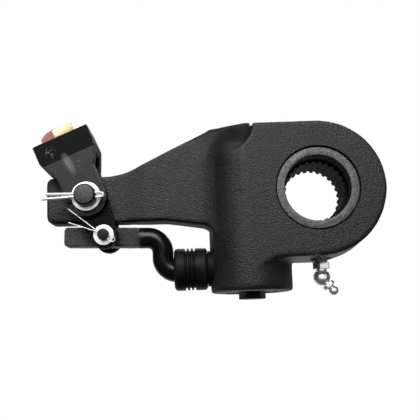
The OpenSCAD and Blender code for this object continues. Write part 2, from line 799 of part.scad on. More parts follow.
module link_cotter() {
  color("gainsboro") translate([pin_x_link, link_cotter_y, pin_z_link]) rotate([0, link_cotter_turn, 0])
    cotter(link_cotter_wire, link_eye_r, link_eye_x, link_bend_x, link_ends, link_bends);
}

// The nipple's own axis, out of the elbow's centre
module at_nipple() { translate([zerk_x, 0, zerk_ball_z]) rotate([0, 180 - nipple_turn, 0]) children(); }

// Elbow body: thread in the head, collar, hexagon, neck and the round elbow
module grease_fitting() {
  color("lightgray") difference() {
    translate([zerk_x, 0, 0]) {
      bar_z(zerk_thread_r - fit, zerk_hex_z[1] - over, -cavity_r - over);
      bar_z(zerk_collar_r, zerk_hex_z[1] - over / 2, zerk_seat_z);
      translate([0, 0, zerk_hex_z[0]]) rotate([0, 0, zerk_hex_turn])
        cylinder(r = hex_r(zerk_hex_flats), h = zerk_hex_z[1] - zerk_hex_z[0], $fn = 6);
      bar_z(zerk_neck_r, zerk_ball_z, zerk_hex_z[0] + over);
      translate([0, 0, zerk_ball_z]) sphere(r = zerk_ball_r);
    }
    translate([zerk_x, 0, 0]) bar_z(zerk_duct_r, zerk_ball_z, 0);
    at_nipple() bar_z(nipple_stem_r, 0, 2 * zerk_ball_r);
  }
}

// Nipple: stem, small hexagon, cone, waist and ball end
module grease_nipple() {
  color("gainsboro") at_nipple() difference() {
    union() {
      bar_z(nipple_stem_r - fit, zerk_duct_r + 6 * fit, nipple_hex_z[0] + over);
      translate([0, 0, nipple_hex_z[0]])
        cylinder(r = hex_r(nipple_hex_flats), h = nipple_hex_z[1] - nipple_hex_z[0], $fn = 6);
      translate([0, 0, nipple_hex_z[1] - 2 * fit])
        cylinder(r1 = nipple_cone_r, r2 = nipple_waist_r, h = nipple_waist_z - nipple_hex_z[1] + 2 * fit);
      bar_z(nipple_waist_r, nipple_waist_z - 4 * fit, nipple_ball_z);
      translate([0, 0, nipple_ball_z]) sphere(r = nipple_ball_r);
    }
    bar_z(nipple_duct_r, 0, nipple_ball_z + nipple_duct_r);
    bar_z(nipple_mouth_r, nipple_ball_z, nipple_ball_z + nipple_ball_r + over);
  }
}

module grease_check_ball() {
  color("gray") at_nipple() translate([0, 0, nipple_ball_z]) sphere(r = check_ball_r, $fn = 24);
}

housing();
arm_bushing();
worm_wheel();
front_seal();
rear_cover();
rear_seal();
cover_ring();
worm();
adjusting_shaft();
worm_key();
upper_thrust_washer();
lower_thrust_washer();
pinion();
clutch_spring();
shaft_retainer();
shaft_seal();
rack();
rack_pin();
rod_guide();
boot();
control_rod();
clevis();
lock_nut();
clevis_pin();
clevis_pin_washer();
clevis_cotter();
link_pin();
link_pin_washer();
link_cotter();
grease_fitting();
grease_nipple();
grease_check_ball();
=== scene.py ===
"""Automatic brake slack adjuster: a painted casting with a splined wheel, a clevis, a control rod and their hardware.

Every size is in metres, in the frame of the packed part: the camshaft lies along Y through the origin,
the worm shaft stands along Z and the clevis pin is on the -X side.
"""

import json
import math

import bmesh
import bpy
from bpy.props import FloatProperty, FloatVectorProperty, IntProperty, PointerProperty
from mathutils import Matrix, Vector, noise


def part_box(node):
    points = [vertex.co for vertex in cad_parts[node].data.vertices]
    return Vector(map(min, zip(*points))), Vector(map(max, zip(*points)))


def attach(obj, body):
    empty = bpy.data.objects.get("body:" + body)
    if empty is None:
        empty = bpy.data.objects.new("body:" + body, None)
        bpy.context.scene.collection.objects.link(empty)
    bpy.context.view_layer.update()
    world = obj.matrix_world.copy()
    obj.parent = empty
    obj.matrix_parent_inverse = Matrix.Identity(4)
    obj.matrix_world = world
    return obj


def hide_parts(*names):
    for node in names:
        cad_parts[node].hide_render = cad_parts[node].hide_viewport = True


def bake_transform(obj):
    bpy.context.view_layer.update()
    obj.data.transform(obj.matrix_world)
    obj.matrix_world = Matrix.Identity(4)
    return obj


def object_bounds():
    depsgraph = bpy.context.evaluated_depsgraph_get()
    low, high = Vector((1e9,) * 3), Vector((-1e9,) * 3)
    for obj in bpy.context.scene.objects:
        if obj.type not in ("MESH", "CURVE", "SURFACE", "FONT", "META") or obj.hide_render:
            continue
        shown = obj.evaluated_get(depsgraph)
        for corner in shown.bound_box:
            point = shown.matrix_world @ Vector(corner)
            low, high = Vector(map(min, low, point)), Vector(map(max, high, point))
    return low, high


bl_info = {
    "name": "Brake slack adjuster",
    "version": (1, 0, 0),
    "blender": (4, 5, 0),
    "location": "View3D > Sidebar > Slack adjuster",
    "description": "Builds the visible pieces of a brake slack adjuster round its packed frame",
    "category": "Add Mesh",
}

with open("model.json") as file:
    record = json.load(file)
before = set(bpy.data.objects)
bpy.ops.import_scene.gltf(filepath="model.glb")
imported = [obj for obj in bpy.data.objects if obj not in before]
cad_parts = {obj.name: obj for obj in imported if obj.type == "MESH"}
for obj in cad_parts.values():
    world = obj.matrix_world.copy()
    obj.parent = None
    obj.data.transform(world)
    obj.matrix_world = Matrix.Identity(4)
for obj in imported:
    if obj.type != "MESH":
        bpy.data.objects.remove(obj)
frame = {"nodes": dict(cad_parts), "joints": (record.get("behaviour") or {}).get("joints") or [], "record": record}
CAD_BOX = [list(corner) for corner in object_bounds()]

MM = 0.001
WELD = 1e-6
FLAT = math.radians(0.4)
FULL_TURN = 2 * math.pi
JOINTS = {joint["name"]: joint for joint in frame["joints"]}
MOUNTS = {mount["name"]: mount for mount in frame["record"]["mounts"]}


def middle(node):
    """Centre of a node's box."""
    low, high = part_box(node)
    return (low + high) / 2


PIN = Vector(JOINTS["clevis_swing"]["pos_m"])
WORM = Vector(JOINTS["worm_spin"]["pos_m"])
LINK = Vector((middle("link_pin").x, 0, middle("link_pin").z))
RACK_Z = middle("boot").z
FITTING_X = middle("grease_fitting").x
THREAD = MOUNTS["push_rod_thread"]
THREAD_R = THREAD["dims"]["r_mm"] * MM
TILT = math.atan2(-THREAD["axis"][0], THREAD["axis"][2])
AT_CLEVIS = Matrix.Translation(PIN) @ Matrix.Rotation(-TILT, 4, "Y")
ALONG_X = Matrix.Rotation(math.pi / 2, 4, "Y")
ALONG_Y = Matrix.Rotation(-math.pi / 2, 4, "X")
AT_WORM = Matrix.Translation(WORM)
AT_RACK = Matrix.Translation((0, 0, RACK_Z)) @ ALONG_X
AT_PIN = Matrix.Translation(PIN) @ ALONG_Y
AT_LINK = Matrix.Translation(LINK) @ ALONG_Y
AT_FITTING = Matrix.Translation((FITTING_X, 0, 0))
BOSS_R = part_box("housing")[1].y
HEAD_FACE = BOSS_R - 0.1 * MM

# The scoops beside the worm boss: a crisp circle towards the head, open towards the arm
SCOOP = (-54.5 * MM, 41.5 * MM)
SCOOP_R = 16.7 * MM
SCOOP_EDGE = 0.6 * MM
SCOOP_FROM_X = (-80 * MM, -72 * MM)
SCOOP_FROM_Z = (20 * MM, 30 * MM)

# Inside them the boss's top tapers from its foot to the arm's web, with a ridge left in the middle
TAPER_FOOT = 27.5 * MM
TAPER_ROLL = 3 * MM
WEB = 10.4 * MM
WEB_STEP = 2.4 * MM
WEB_STEP_X = (-66 * MM, -56 * MM)
WEB_FILLET = 6 * MM
RIDGE_RISE = 3.7 * MM
RIDGE_X = (-68 * MM, -41 * MM)
RIDGE_Z = (31 * MM, 39 * MM)


def bore_radius(node, place):
    """Radius of a ring's bore round a Y axis through a place."""
    return min(math.hypot(v.co.x - place.x, v.co.z - place.z) for v in frame["nodes"][node].data.vertices)


# Settings

class CastingSettings(bpy.types.PropertyGroup):
    """Skin and paint of the housing"""

    skin: FloatProperty(name="Skin size", description="Grid of the cast skin", default=0.85 * MM, unit="LENGTH",
                        precision=5)
    passes: IntProperty(name="Edge passes", description="How often the cast edges are eased", default=2, min=0)
    fillets: IntProperty(name="Fillet passes", description="How often the inside corners are filled", default=36, min=0)
    ripple: FloatProperty(name="Ripple", description="Height of the sand casting's slow ripple", default=0.05 * MM,
                          unit="LENGTH", precision=5)
    paint: FloatVectorProperty(name="Paint", description="Colour of the casting's paint", subtype="COLOR",
                               default=(0.0080, 0.0073, 0.0070))


class LinkageSettings(bpy.types.PropertyGroup):
    """Clevis, rod and boot"""

    skin: FloatProperty(name="Skin size", description="Grid of the forged skin", default=0.5 * MM, unit="LENGTH",
                        precision=5)
    passes: IntProperty(name="Edge passes", description="How often the forged edges are eased", default=3, min=0)
    forging: FloatVectorProperty(name="Forging", description="Colour of the clevis", subtype="COLOR",
                                 default=(0.010, 0.0098, 0.0095))
    rod: FloatVectorProperty(name="Rod", description="Colour of the control rod", subtype="COLOR",
                             default=(0.009, 0.009, 0.009))
    rubber: FloatVectorProperty(name="Rubber", description="Colour of the boot and the seals", subtype="COLOR",
                                default=(0.006, 0.006, 0.006))


class HardwareSettings(bpy.types.PropertyGroup):
    """Turned, plated and stamped pieces"""

    ease: FloatProperty(name="Ease", description="Width of the broken edges", default=0.25 * MM, unit="LENGTH",
                        precision=5)
    steel: FloatVectorProperty(name="Steel", description="Colour of the machined steel", subtype="COLOR",
                               default=(0.122, 0.124, 0.127))
    zinc: FloatVectorProperty(name="Zinc", description="Colour of the bright plating", subtype="COLOR",
                              default=(0.92, 0.92, 0.91))
    gold: FloatVectorProperty(name="Gold", description="Colour of the nut's yellow plating", subtype="COLOR",
                              default=(0.72, 0.52, 0.25))


class StageSettings(bpy.types.PropertyGroup):
    """Camera, light and floor"""

    lens: FloatProperty(name="Lens", description="Focal length on a 36 mm frame", default=71.42)
    key: FloatProperty(name="Key light", description="Power of the main soft box", default=24.0, subtype="POWER")
    rear: FloatProperty(name="Rear light", description="Power of the soft box behind the part", default=9.0,
                        subtype="POWER")
    card: FloatProperty(name="Card", description="Power of the bounce card for the plated pieces", default=1.2,
                        subtype="POWER")
    floor: FloatVectorProperty(name="Floor", description="Colour of the floor", subtype="COLOR",
                               default=(0.86, 0.86, 0.86))


def settings(name):
    """One group of settings, by its short name."""
    return getattr(bpy.context.scene, "slack_" + name)


# Mesh helpers

def cad_copy(node):
    """A node's mesh with its loose triangles welded together."""
    bm = bmesh.new()
    bm.from_mesh(frame["nodes"][node].data)
    bmesh.ops.remove_doubles(bm, verts=bm.verts, dist=WELD)
    return bm


def eased_copy(node, ease, sharp=40.0, where=None):
    """A node's mesh with its sharp edges broken, where the test of an edge's middle says so."""
    bm = cad_copy(node)
    bmesh.ops.dissolve_limit(bm, angle_limit=FLAT, verts=bm.verts, edges=bm.edges)
    edges = [e for e in bm.edges if len(e.link_faces) == 2 and e.calc_face_angle(0) > math.radians(sharp)]
    if where:
        edges = [e for e in edges if where((e.verts[0].co + e.verts[1].co) / 2)]
    bmesh.ops.bevel(bm, geom=edges, offset=ease, offset_type="OFFSET", affect="EDGES", segments=2, profile=0.5,
                    material=-1, clamp_overlap=True)
    return bm


def turned(profile, place, steps=96, rounding=0.0, segments=3):
    """A solid turned about Z from (radius, height) pairs, or a ring where they start off the axis."""
    bm = bmesh.new()
    verts = [bm.verts.new((r, 0, h)) for r, h in profile]
    on_axis = profile[0][0] == 0
    pairs = list(zip(verts, verts[1:] if on_axis else verts[1:] + verts[:1]))
    for pair in pairs:
        bm.edges.new(pair)
    if rounding:
        corners = [v for v in verts if v.co.x > 0]
        bmesh.ops.bevel(bm, geom=corners, offset=rounding, offset_type="OFFSET", affect="VERTICES",
                        segments=segments, profile=0.5, material=-1, clamp_overlap=True)
    bmesh.ops.spin(bm, geom=bm.verts[:] + bm.edges[:], cent=(0, 0, 0), axis=(0, 0, 1), angle=FULL_TURN,
                   steps=steps, use_merge=True)
    bmesh.ops.remove_doubles(bm, verts=bm.verts, dist=WELD)
    bmesh.ops.recalc_face_normals(bm, faces=bm.faces)
    bm.transform(place)
    return bm


def cylinder(radius, start, end, place, steps=96):
    """A round bar along the Z axis of a place."""
    return turned([(0, start), (radius, start), (radius, end), (0, end)], place, steps)


def swept(path, radius, sides=12):
    """A round wire along a path of points."""
    steps = [b - a for a, b in zip(path, path[1:])]
    ways = [steps[0]] + [a.normalized() + b.normalized() for a, b in zip(steps, steps[1:])] + [steps[-1]]
    turn = Vector((0, 0, 1)).rotation_difference(ways[0])
    bm = bmesh.new()
    ring = bmesh.ops.create_circle(bm, cap_ends=True, segments=sides, radius=radius)["verts"]
    place = Matrix.Translation(path[0]) @ turn.to_matrix().to_4x4()
    bmesh.ops.transform(bm, matrix=place, verts=ring)
    edges = bm.edges[:]
    for point, last, way in zip(path[1:], ways, ways[1:]):
        made = bmesh.ops.extrude_edge_only(bm, edges=edges)["geom"]
        turn = last.rotation_difference(way) @ turn
        after = Matrix.Translation(point) @ turn.to_matrix().to_4x4()
        ring = [g for g in made if isinstance(g, bmesh.types.BMVert)]
        edges = [e for e in made if isinstance(e, bmesh.types.BMEdge) and all(v in ring for v in e.verts)]
        bmesh.ops.transform(bm, matrix=after @ place.inverted(), verts=ring)
        place = after
    bmesh.ops.holes_fill(bm, edges=edges, sides=0)
    bmesh.ops.recalc_face_normals(bm, faces=bm.faces)
    return bm


def as_object(name, bm):
    """A bare object made from a bmesh, which is used up."""
    mesh = bpy.data.meshes.new(name)
    bm.to_mesh(mesh)
    bm.free()
    made = bpy.data.objects.new(name, mesh)
    bpy.context.scene.collection.objects.link(made)
    return made


def evaluated(maker):
    """The mesh that an object's modifiers give, as a bmesh. The object is removed."""
    shown = maker.evaluated_get(bpy.context.evaluated_depsgraph_get())
    bm = bmesh.new()
    bm.from_mesh(shown.to_mesh())
    shown.to_mesh_clear()
    bpy.data.objects.remove(maker)
    return bm


def cast_skin(bm, size, passes, grow):
    """One closed skin over a mesh, with its edges eased into cast or forged radii and grown back to size."""
    core = as_object("core", bm)
    remesh = core.modifiers.new("skin", "REMESH")
    remesh.mode = "VOXEL"
    remesh.voxel_size = size
    skin = evaluated(core)
    soften(skin, skin.verts, passes)
    skin.normal_update()
    for v in skin.verts:
        v.co += v.normal * grow
    return skin


def soften(bm, verts, passes):
    """Smooths some of a mesh's points over and over."""
    for _ in range(passes):
        bmesh.ops.smooth_vert(bm, verts=verts, factor=0.5, use_axis_x=True, use_axis_y=True, use_axis_z=True)


def widened(verts, rings):
    """Some points with the rings of neighbours round them."""
    wide = set(verts)
    for _ in range(rings):
        wide |= {e.other_vert(v) for v in wide for e in v.link_edges}
    return list(wide)


def fill_corners(bm, depth, passes):
    """Rounds the inside corners of a skin into fillets."""
    bm.normal_update()
    soften(bm, widened([v for v in bm.verts if standing_out(v) < -depth], 4), passes)


def bored(bm, tools):
    """Cuts the tools' solids out of a mesh, which leaves crisp machined edges."""
    work = as_object("work", bm)
    cutters = [as_object("cutter", tool) for tool in tools]
    for cutter in cutters:
        cut = work.modifiers.new("bore", "BOOLEAN")
        cut.operation = "DIFFERENCE"
        cut.solver = "EXACT"
        cut.object = cutter
    result = evaluated(work)
    for cutter in cutters:
        bpy.data.objects.remove(cutter)
    return result


def standing_out(v):
    """How far a point stands out of its neighbours' middle, along its normal."""
    around = [e.other_vert(v).co for e in v.link_edges]
    return (v.co - sum(around, Vector()) / len(around)).dot(v.normal)


def mark_edges(bm, reach):
    """Writes how far each point stands out of its neighbours, for the wear on the edges."""
    layer = bm.verts.layers.float.new("edge_wear")
    bm.normal_update()
    for v in bm.verts:
        v[layer] = ramp(standing_out(v), 0.0, reach)


def ramp(value, low, high):
    """0 at low, 1 at high and a straight line between them."""
    return max(0.0, min(1.0, (value - low) / (high - low)))


def smooth_step(value, low, high):
    """0 at low, 1 at high and a soft S between them."""
    t = ramp(value, low, high)
    return t * t * (3 - 2 * t)


def from_scoop(place):
    """Distance and angle of a place from the scoops' axis."""
    x, z = place.x - SCOOP[0], place.z - SCOOP[1]
    return math.hypot(x, z), math.degrees(math.atan2(z, x))


def piece(name, bm, finish, body=None, nodes=(), sharp=35.0):
    """A finished piece: smooth shading with sharp edges, its finish, its body and the nodes it stands for."""
    made = as_object(name, bm)
    made.data.shade_smooth()
    made.data.set_sharp_from_angle(angle=math.radians(sharp))
    made.data.materials.append(finish)
    if nodes:
        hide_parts(*nodes)
    if body:
        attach(made, body)
    return made


# Shader helpers

class Tree:
    """Adds nodes to a shader tree and wires them."""

    def __init__(self, tree):
        self.tree = tree

    def add(self, kind, inputs=None, **values):
        """A new node with its inputs wired or set and its other values given."""
        made = self.tree.nodes.new("ShaderNode" + kind)
        for key, value in values.items():
            setattr(made, key, value)
        for key, value in (inputs or {}).items():
            self.put(made.inputs[key], value)
        return made

    def put(self, socket, value):
        """Wires a socket to another one, or sets it to a plain value."""
        if isinstance(value, bpy.types.NodeSocket):
            self.tree.links.new(value, socket)
        else:
            socket.default_value = value

    def mix(self, factor, a, b):
        """Colour a, with colour b where the factor is 1."""
        return self.add("Mix", {0: factor, 6: rgba(a), 7: rgba(b)}, data_type="RGBA").outputs[2]

    def math(self, operation, a, b=0.0):
        """One sum of two values."""
        return self.add("Math", {0: a, 1: b}, operation=operation).outputs[0]

    def span(self, value, low, high, to_low=0.0, to_high=1.0):
        """Maps a value from one span to another, and stops at its ends."""
        return self.add("MapRange", {0: value, 1: low, 2: high, 3: to_low, 4: to_high}).outputs[0]

    def spot(self, vector, centre, radii):
        """1 in the middle of an oval round a place, and 0 at its rim."""
        moved = self.add("VectorMath", {0: vector, 1: centre}, operation="SUBTRACT").outputs[0]
        scaled = self.add("VectorMath", {0: moved, 1: radii}, operation="DIVIDE").outputs[0]
        far = self.add("VectorMath", {0: scaled}, operation="LENGTH").outputs["Value"]
        return self.span(far, 1.0, 0.35)

    def noise(self, vector, scale, detail=2.0, roughness=0.5):
        """Soft noise from about 0.3 to 0.7."""
        return self.add("TexNoise", {"Vector": vector, "Scale": scale, "Detail": detail,
                                     "Roughness": roughness}).outputs[0]


def rgba(colour):
    """A colour of three or four numbers as four, and a socket as it is."""
    return colour if isinstance(colour, bpy.types.NodeSocket) else (*tuple(colour)[:3], 1.0)


def shared(name, inputs, outputs, wire):
    """A shader group that is built once. wire fills it and returns the sockets that it puts out."""
    if name in bpy.data.node_groups:
        return bpy.data.node_groups[name]
    group = bpy.data.node_groups.new(name, "ShaderNodeTree")
    for label, kind in inputs.items():
        group.interface.new_socket(name=label, in_out="INPUT", socket_type="NodeSocket" + kind)
    for label in outputs:
        group.interface.new_socket(name=label, in_out="OUTPUT", socket_type="NodeSocketFloat")
    tree = Tree(group)
    enter = group.nodes.new("NodeGroupInput")
    leave = group.nodes.new("NodeGroupOutput")
    for label, socket in zip(outputs, wire(tree, enter.outputs)):
        group.links.new(socket, leave.inputs[label])
    return group


def grain_group():
    """Pebbled skin of a casting or a forging: round pebbles, fine grit and slow patches."""
    def wire(tree, enter):
        pebbles = tree.add("TexVoronoi", {"Vector": enter["Vector"], "Scale": enter["Pebbles"], "Smoothness": 0.7},
                           feature="SMOOTH_F1").outputs[0]
        grit = tree.noise(enter["Vector"], enter["Grit"], 3.0)
        patches = tree.noise(enter["Vector"], 60.0, 3.0)
        height = tree.math("ADD", tree.math("MULTIPLY", pebbles, -0.8), tree.math("MULTIPLY", grit, 0.7))
        tone = tree.math("ADD", tree.math("MULTIPLY", grit, 0.6), tree.math("MULTIPLY", patches, 0.4))
        return height, tone
    return shared("skin_grain", {"Vector": "Vector", "Pebbles": "Float", "Grit": "Float"}, ("Height", "Tone"), wire)


def wear_group():
    """Where a finish has rubbed off: standing edges, broken up by noise."""
    def wire(tree, enter):
        broken = tree.noise(enter["Vector"], enter["Scale"], 4.0, 0.65)
        raised = tree.math("MULTIPLY", enter["Edge"], broken)
        return (tree.span(raised, enter["Start"], enter["End"]),)
    return shared("edge_wear", {"Vector": "Vector", "Edge": "Float", "Scale": "Float", "Start": "Float",
                                "End": "Float"}, ("Mask",), wire)


def rings_group():
    """Fine turning marks round the Y axis of the vector."""
    def wire(tree, enter):
        parts = tree.add("SeparateXYZ", {0: enter["Vector"]}).outputs
        flat = tree.add("CombineXYZ", {0: parts[0], 2: parts[2]}).outputs[0]
        radius = tree.add("VectorMath", {0: flat}, operation="LENGTH").outputs["Value"]
        groove = tree.add("TexNoise", {"W": radius, "Scale": enter["Density"], "Detail": 3.0, "Roughness": 0.7},
                          noise_dimensions="1D").outputs[0]
        stain = tree.noise(enter["Vector"], 240.0, 4.0, 0.6)
        return groove, stain
    return shared("turning_marks", {"Vector": "Vector", "Density": "Float"}, ("Groove", "Stain"), wire)


def new_material(name, metallic=0.0, **sockets):
    """A material with its shader, object coordinates and tree."""
    made = bpy.data.materials.new(name)
    made.use_nodes = True
    tree = Tree(made.node_tree)
    shader = made.node_tree.nodes["Principled BSDF"]
    shader.inputs["Metallic"].default_value = metallic
    for label, value in sockets.items():
        shader.inputs[label.replace("_", " ")].default_value = value
    place = tree.add("TexCoord").outputs["Object"]
    return made, tree, shader, place


def grain(tree, place, pebbles, grit):
    """Height and tone of a pebbled skin."""
    return tree.add("Group", {"Vector": place, "Pebbles": pebbles, "Grit": grit}, node_tree=grain_group()).outputs


def rubbed_edges(tree, place, scale, start, end):
    """Mask of the edges that have lost their finish, from what mark_edges wrote."""
    edge = tree.add("Attribute", attribute_name="edge_wear").outputs["Fac"]
    return tree.add("Group", {"Vector": place, "Edge": edge, "Scale": scale, "Start": start, "End": end},
                    node_tree=wear_group()).outputs["Mask"]


def on_clevis(tree, place):
    """Coordinates that stand on the clevis pin and lean with the clevis."""
    home = AT_CLEVIS.inverted()
    return tree.add("Mapping", {"Vector": place, "Rotation": home.to_euler(),
                                "Location": home.to_translation()}).outputs[0]


def bump(tree, shader, height, depth, strength=1.0):
    """Raises a height on a shader's surface, to a depth in metres."""
    made = tree.add("Bump", {"Height": height, "Distance": depth, "Strength": strength})
    tree.put(shader.inputs["Normal"], made.outputs[0])


# Places and half sizes of the larger chips in the casting's paint, in millimetres
PAINT_CHIPS = ((-4.5, -24.4, -40.4, 4.0, 0.8, 0.6), (37.8, -24.3, 12.8, 0.5, 0.9, 1.3),
               (32.4, -24.3, -25.8, 0.6, 0.9, 1.2), (-35, -20, -43.3, 3.0, 2.0, 0.7), (40, 6, -8, 0.9, 1.4, 2.2),
               (10, 24.3, 40, 2.2, 0.8, 0.7), (-60, -24, -52.6, 1.6, 2.0, 0.7))
# Centre and half sizes of the painted shade in a scoop, where the paint's sheen is cut, on either side of the casting
SCOOP_PAINTED_SHADE = ((-56 * MM, 15 * MM, 37 * MM), (19 * MM, 17 * MM, 12 * MM))

FINISHES = {}


def finish(name):
    """A finish by its name, made the first time that it is asked for."""
    if name not in FINISHES:
        FINISHES[name] = MAKERS[name]()
    return FINISHES[name]


def painted_casting():
    """Black paint over sand-cast iron: pebbles under it, painted glints, scuffed edges, a few rust chips, and painted
    shade in the scoops and under the arm.
    """
    made, tree, shader, place = new_material("painted_casting", Specular_IOR_Level=0.45)
    paint = settings("casting").paint
    sand = grain(tree, place, 1250.0, 1900.0)
    wear = rubbed_edges(tree, place, 420.0, 0.52, 0.66)
    rust = rubbed_edges(tree, place, 150.0, 0.62, 0.66)
    for chip in PAINT_CHIPS:
        spot = tree.spot(place, [c * MM for c in chip[:3]], [c * MM for c in chip[3:]])
        broken = tree.math("MULTIPLY", spot, tree.span(tree.noise(place, 900.0, 3.0), 0.44, 0.52))
        rust = tree.math("MAXIMUM", rust, broken)
    # painted glints: lighter specks mixed into the paint's colour, standing in for the sparkle of its sheen
    painted_glint = tree.span(tree.noise(place, 1300.0, 2.0), 0.55, 0.72)
    coat = tree.mix(tree.span(sand["Tone"], 0.36, 0.68), [0.5 * c for c in paint], [2.4 * c for c in paint])
    coat = tree.mix(tree.math("MULTIPLY", painted_glint, 0.7), coat, (0.052, 0.048, 0.046))
    scuffed = tree.mix(tree.math("MULTIPLY", wear, 0.35), coat, (0.13, 0.125, 0.12))
    tree.put(shader.inputs["Base Color"], tree.mix(rust, scuffed, (0.36, 0.16, 0.05)))
    # painted shade: the paint's sheen is cut almost to nothing on the arm's underside and in the scoops, so these read
    # darker than the light makes them
    facing = tree.add("SeparateXYZ", {0: tree.add("TexCoord").outputs["Normal"]}).outputs[2]
    x, y, z = tree.add("SeparateXYZ", {0: place}).outputs
    arm = tree.span(x, -58 * MM, -66 * MM)
    folded = tree.add("CombineXYZ", {0: x, 1: tree.math("ABSOLUTE", y), 2: z}).outputs[0]
    scoop = tree.spot(folded, *SCOOP_PAINTED_SHADE)
    painted_shade = tree.math("MAXIMUM", tree.math("MULTIPLY", arm, tree.span(facing, -0.25, -0.6)),
                     tree.math("MULTIPLY", scoop, 0.65))
    tree.put(shader.inputs["Specular IOR Level"], tree.span(painted_shade, 0.0, 1.0, 0.45, 0.04))
    tree.put(shader.inputs["Roughness"], tree.span(sand["Tone"], 0.35, 0.65, 0.42, 0.60))
    bump(tree, shader, sand["Height"], 0.27 * MM, 1.0)
    return made


def black_forging():
    """Blackened forging: dark scale on the hub, a greyer machined ear with a rubbed patch, bright worn edges."""
    made, tree, shader, place = new_material("black_forging", Specular_IOR_Level=0.10)
    colour = settings("linkage").forging
    local = on_clevis(tree, place)
    across, deep, along = tree.add("SeparateXYZ", {0: local}).outputs
    outer = tree.span(tree.math("ABSOLUTE", deep), 18.4 * MM, 18.9 * MM)
    ear = tree.math("MULTIPLY", outer, tree.span(along, 27.6 * MM, 27.0 * MM))
    scale = grain(tree, place, 900.0, 2200.0)
    wear = rubbed_edges(tree, place, 900.0, 0.42, 0.56)
    leaning = tree.add("Mapping", {"Vector": local, "Rotation": (0, 0.12, 0)}).outputs[0]
    drawn = tree.add("Mapping", {"Vector": leaning, "Scale": (1500, 500, 140)}).outputs[0]
    streaks = tree.span(tree.noise(drawn, 1.0, 3.0), 0.30, 0.70, 0.25, 0.75)
    patch = tree.spot(leaning, (1.2 * MM, -19 * MM, 23 * MM), (3.4 * MM, 2 * MM, 9 * MM))
    dust = tree.span(tree.noise(place, 1700.0, 2.0), 0.60, 0.68)
    flecks = tree.spot(local, (4.4 * MM, -19 * MM, 21.5 * MM), (3.2 * MM, 2 * MM, 4.5 * MM))
    nicks = tree.spot(local, (-9.4 * MM, -17.6 * MM, 34 * MM), (4 * MM, 3 * MM, 5 * MM))
    scribble = tree.math("ABSOLUTE", tree.math("SUBTRACT", tree.noise(place, 330.0, 1.0), 0.5))
    scratched = tree.math("MULTIPLY", nicks, tree.span(scribble, 0.03, 0.008))
    rubbed = tree.math("MAXIMUM", tree.math("MULTIPLY", patch, streaks), tree.math("MULTIPLY", flecks, dust))
    marks = tree.math("MULTIPLY", tree.math("MAXIMUM", rubbed, scratched), 0.62)
    specks = tree.math("MULTIPLY", tree.math("MULTIPLY", dust, ear), 0.10)
    bare = tree.math("MAXIMUM", wear, tree.math("MAXIMUM", marks, specks))
    parting = tree.math("MULTIPLY", tree.span(tree.math("ABSOLUTE", across), 0.35 * MM, 0.12 * MM),
                        tree.span(along, 28 * MM, 29 * MM))
    coat = tree.mix(tree.span(scale["Tone"], 0.38, 0.66), [0.3 * c for c in colour], [0.8 * c for c in colour])
    faced = tree.mix(ear, coat, [1.8 * c for c in colour])
    tree.put(shader.inputs["Specular IOR Level"], tree.span(ear, 0.0, 1.0, 0.10, 0.27))
    shade = tree.mix(parting, faced, (0.001, 0.001, 0.001))
    tree.put(shader.inputs["Base Color"], tree.mix(bare, shade, (0.34, 0.335, 0.325)))
    tree.put(shader.inputs["Metallic"], tree.math("MULTIPLY", wear, 0.8))
    rough = tree.span(scale["Tone"], 0.35, 0.65, 0.60, 0.75)
    tree.put(shader.inputs["Roughness"], tree.math("SUBTRACT", rough, tree.math("MULTIPLY", ear, 0.22)))
    bump(tree, shader, scale["Height"], 0.12 * MM, 0.7)
    return made


def black_rod():
    """Black oxide on a bent bar: satin where it is round, scaly along the pressed flat."""
    made, tree, shader, place = new_material("black_rod", Specular_IOR_Level=0.33)
    colour = settings("linkage").rod
    along = tree.add("SeparateXYZ", {0: place}).outputs[0]
    flat = tree.span(along, -106 * MM, -112 * MM)
    scale = grain(tree, place, 850.0, 2000.0)
    wear = rubbed_edges(tree, place, 300.0, 0.45, 0.62)
    coat = tree.mix(tree.math("MULTIPLY", flat, tree.span(scale["Tone"], 0.34, 0.62)), [0.5 * c for c in colour],
                    [6.5 * c for c in colour])
    tree.put(shader.inputs["Base Color"], tree.mix(tree.math("MULTIPLY", wear, 0.5), coat, (0.16, 0.155, 0.15)))
    tree.put(shader.inputs["Roughness"], tree.span(flat, 0.0, 1.0, 0.27, 0.52))
    rough = tree.math("MULTIPLY", scale["Height"], tree.span(flat, 0.0, 1.0, 0.1, 1.0))
    bump(tree, shader, rough, 0.2 * MM, 0.9)
    return made


def rubber():
    """Moulded black rubber with a dull bloom."""
    made, tree, shader, place = new_material("rubber", Specular_IOR_Level=0.12)
    colour = settings("linkage").rubber
    bloom = tree.span(tree.noise(place, 130.0, 4.0), 0.4, 0.7)
    tree.put(shader.inputs["Base Color"], tree.mix(bloom, colour, [2.0 * c for c in colour]))
    tree.put(shader.inputs["Roughness"], tree.span(bloom, 0.0, 1.0, 0.44, 0.56))
    bump(tree, shader, tree.noise(place, 1800.0, 2.0), 0.06 * MM, 0.5)
    return made


def dark_guide():
    """Black moulded bush that hardly shines."""
    made, tree, shader, place = new_material("dark_guide", Specular_IOR_Level=0.12)
    tree.put(shader.inputs["Base Color"], tree.mix(tree.noise(place, 400.0), (0.002, 0.002, 0.002),
                                                   (0.005, 0.005, 0.005)))
    shader.inputs["Roughness"].default_value = 0.6
    return made


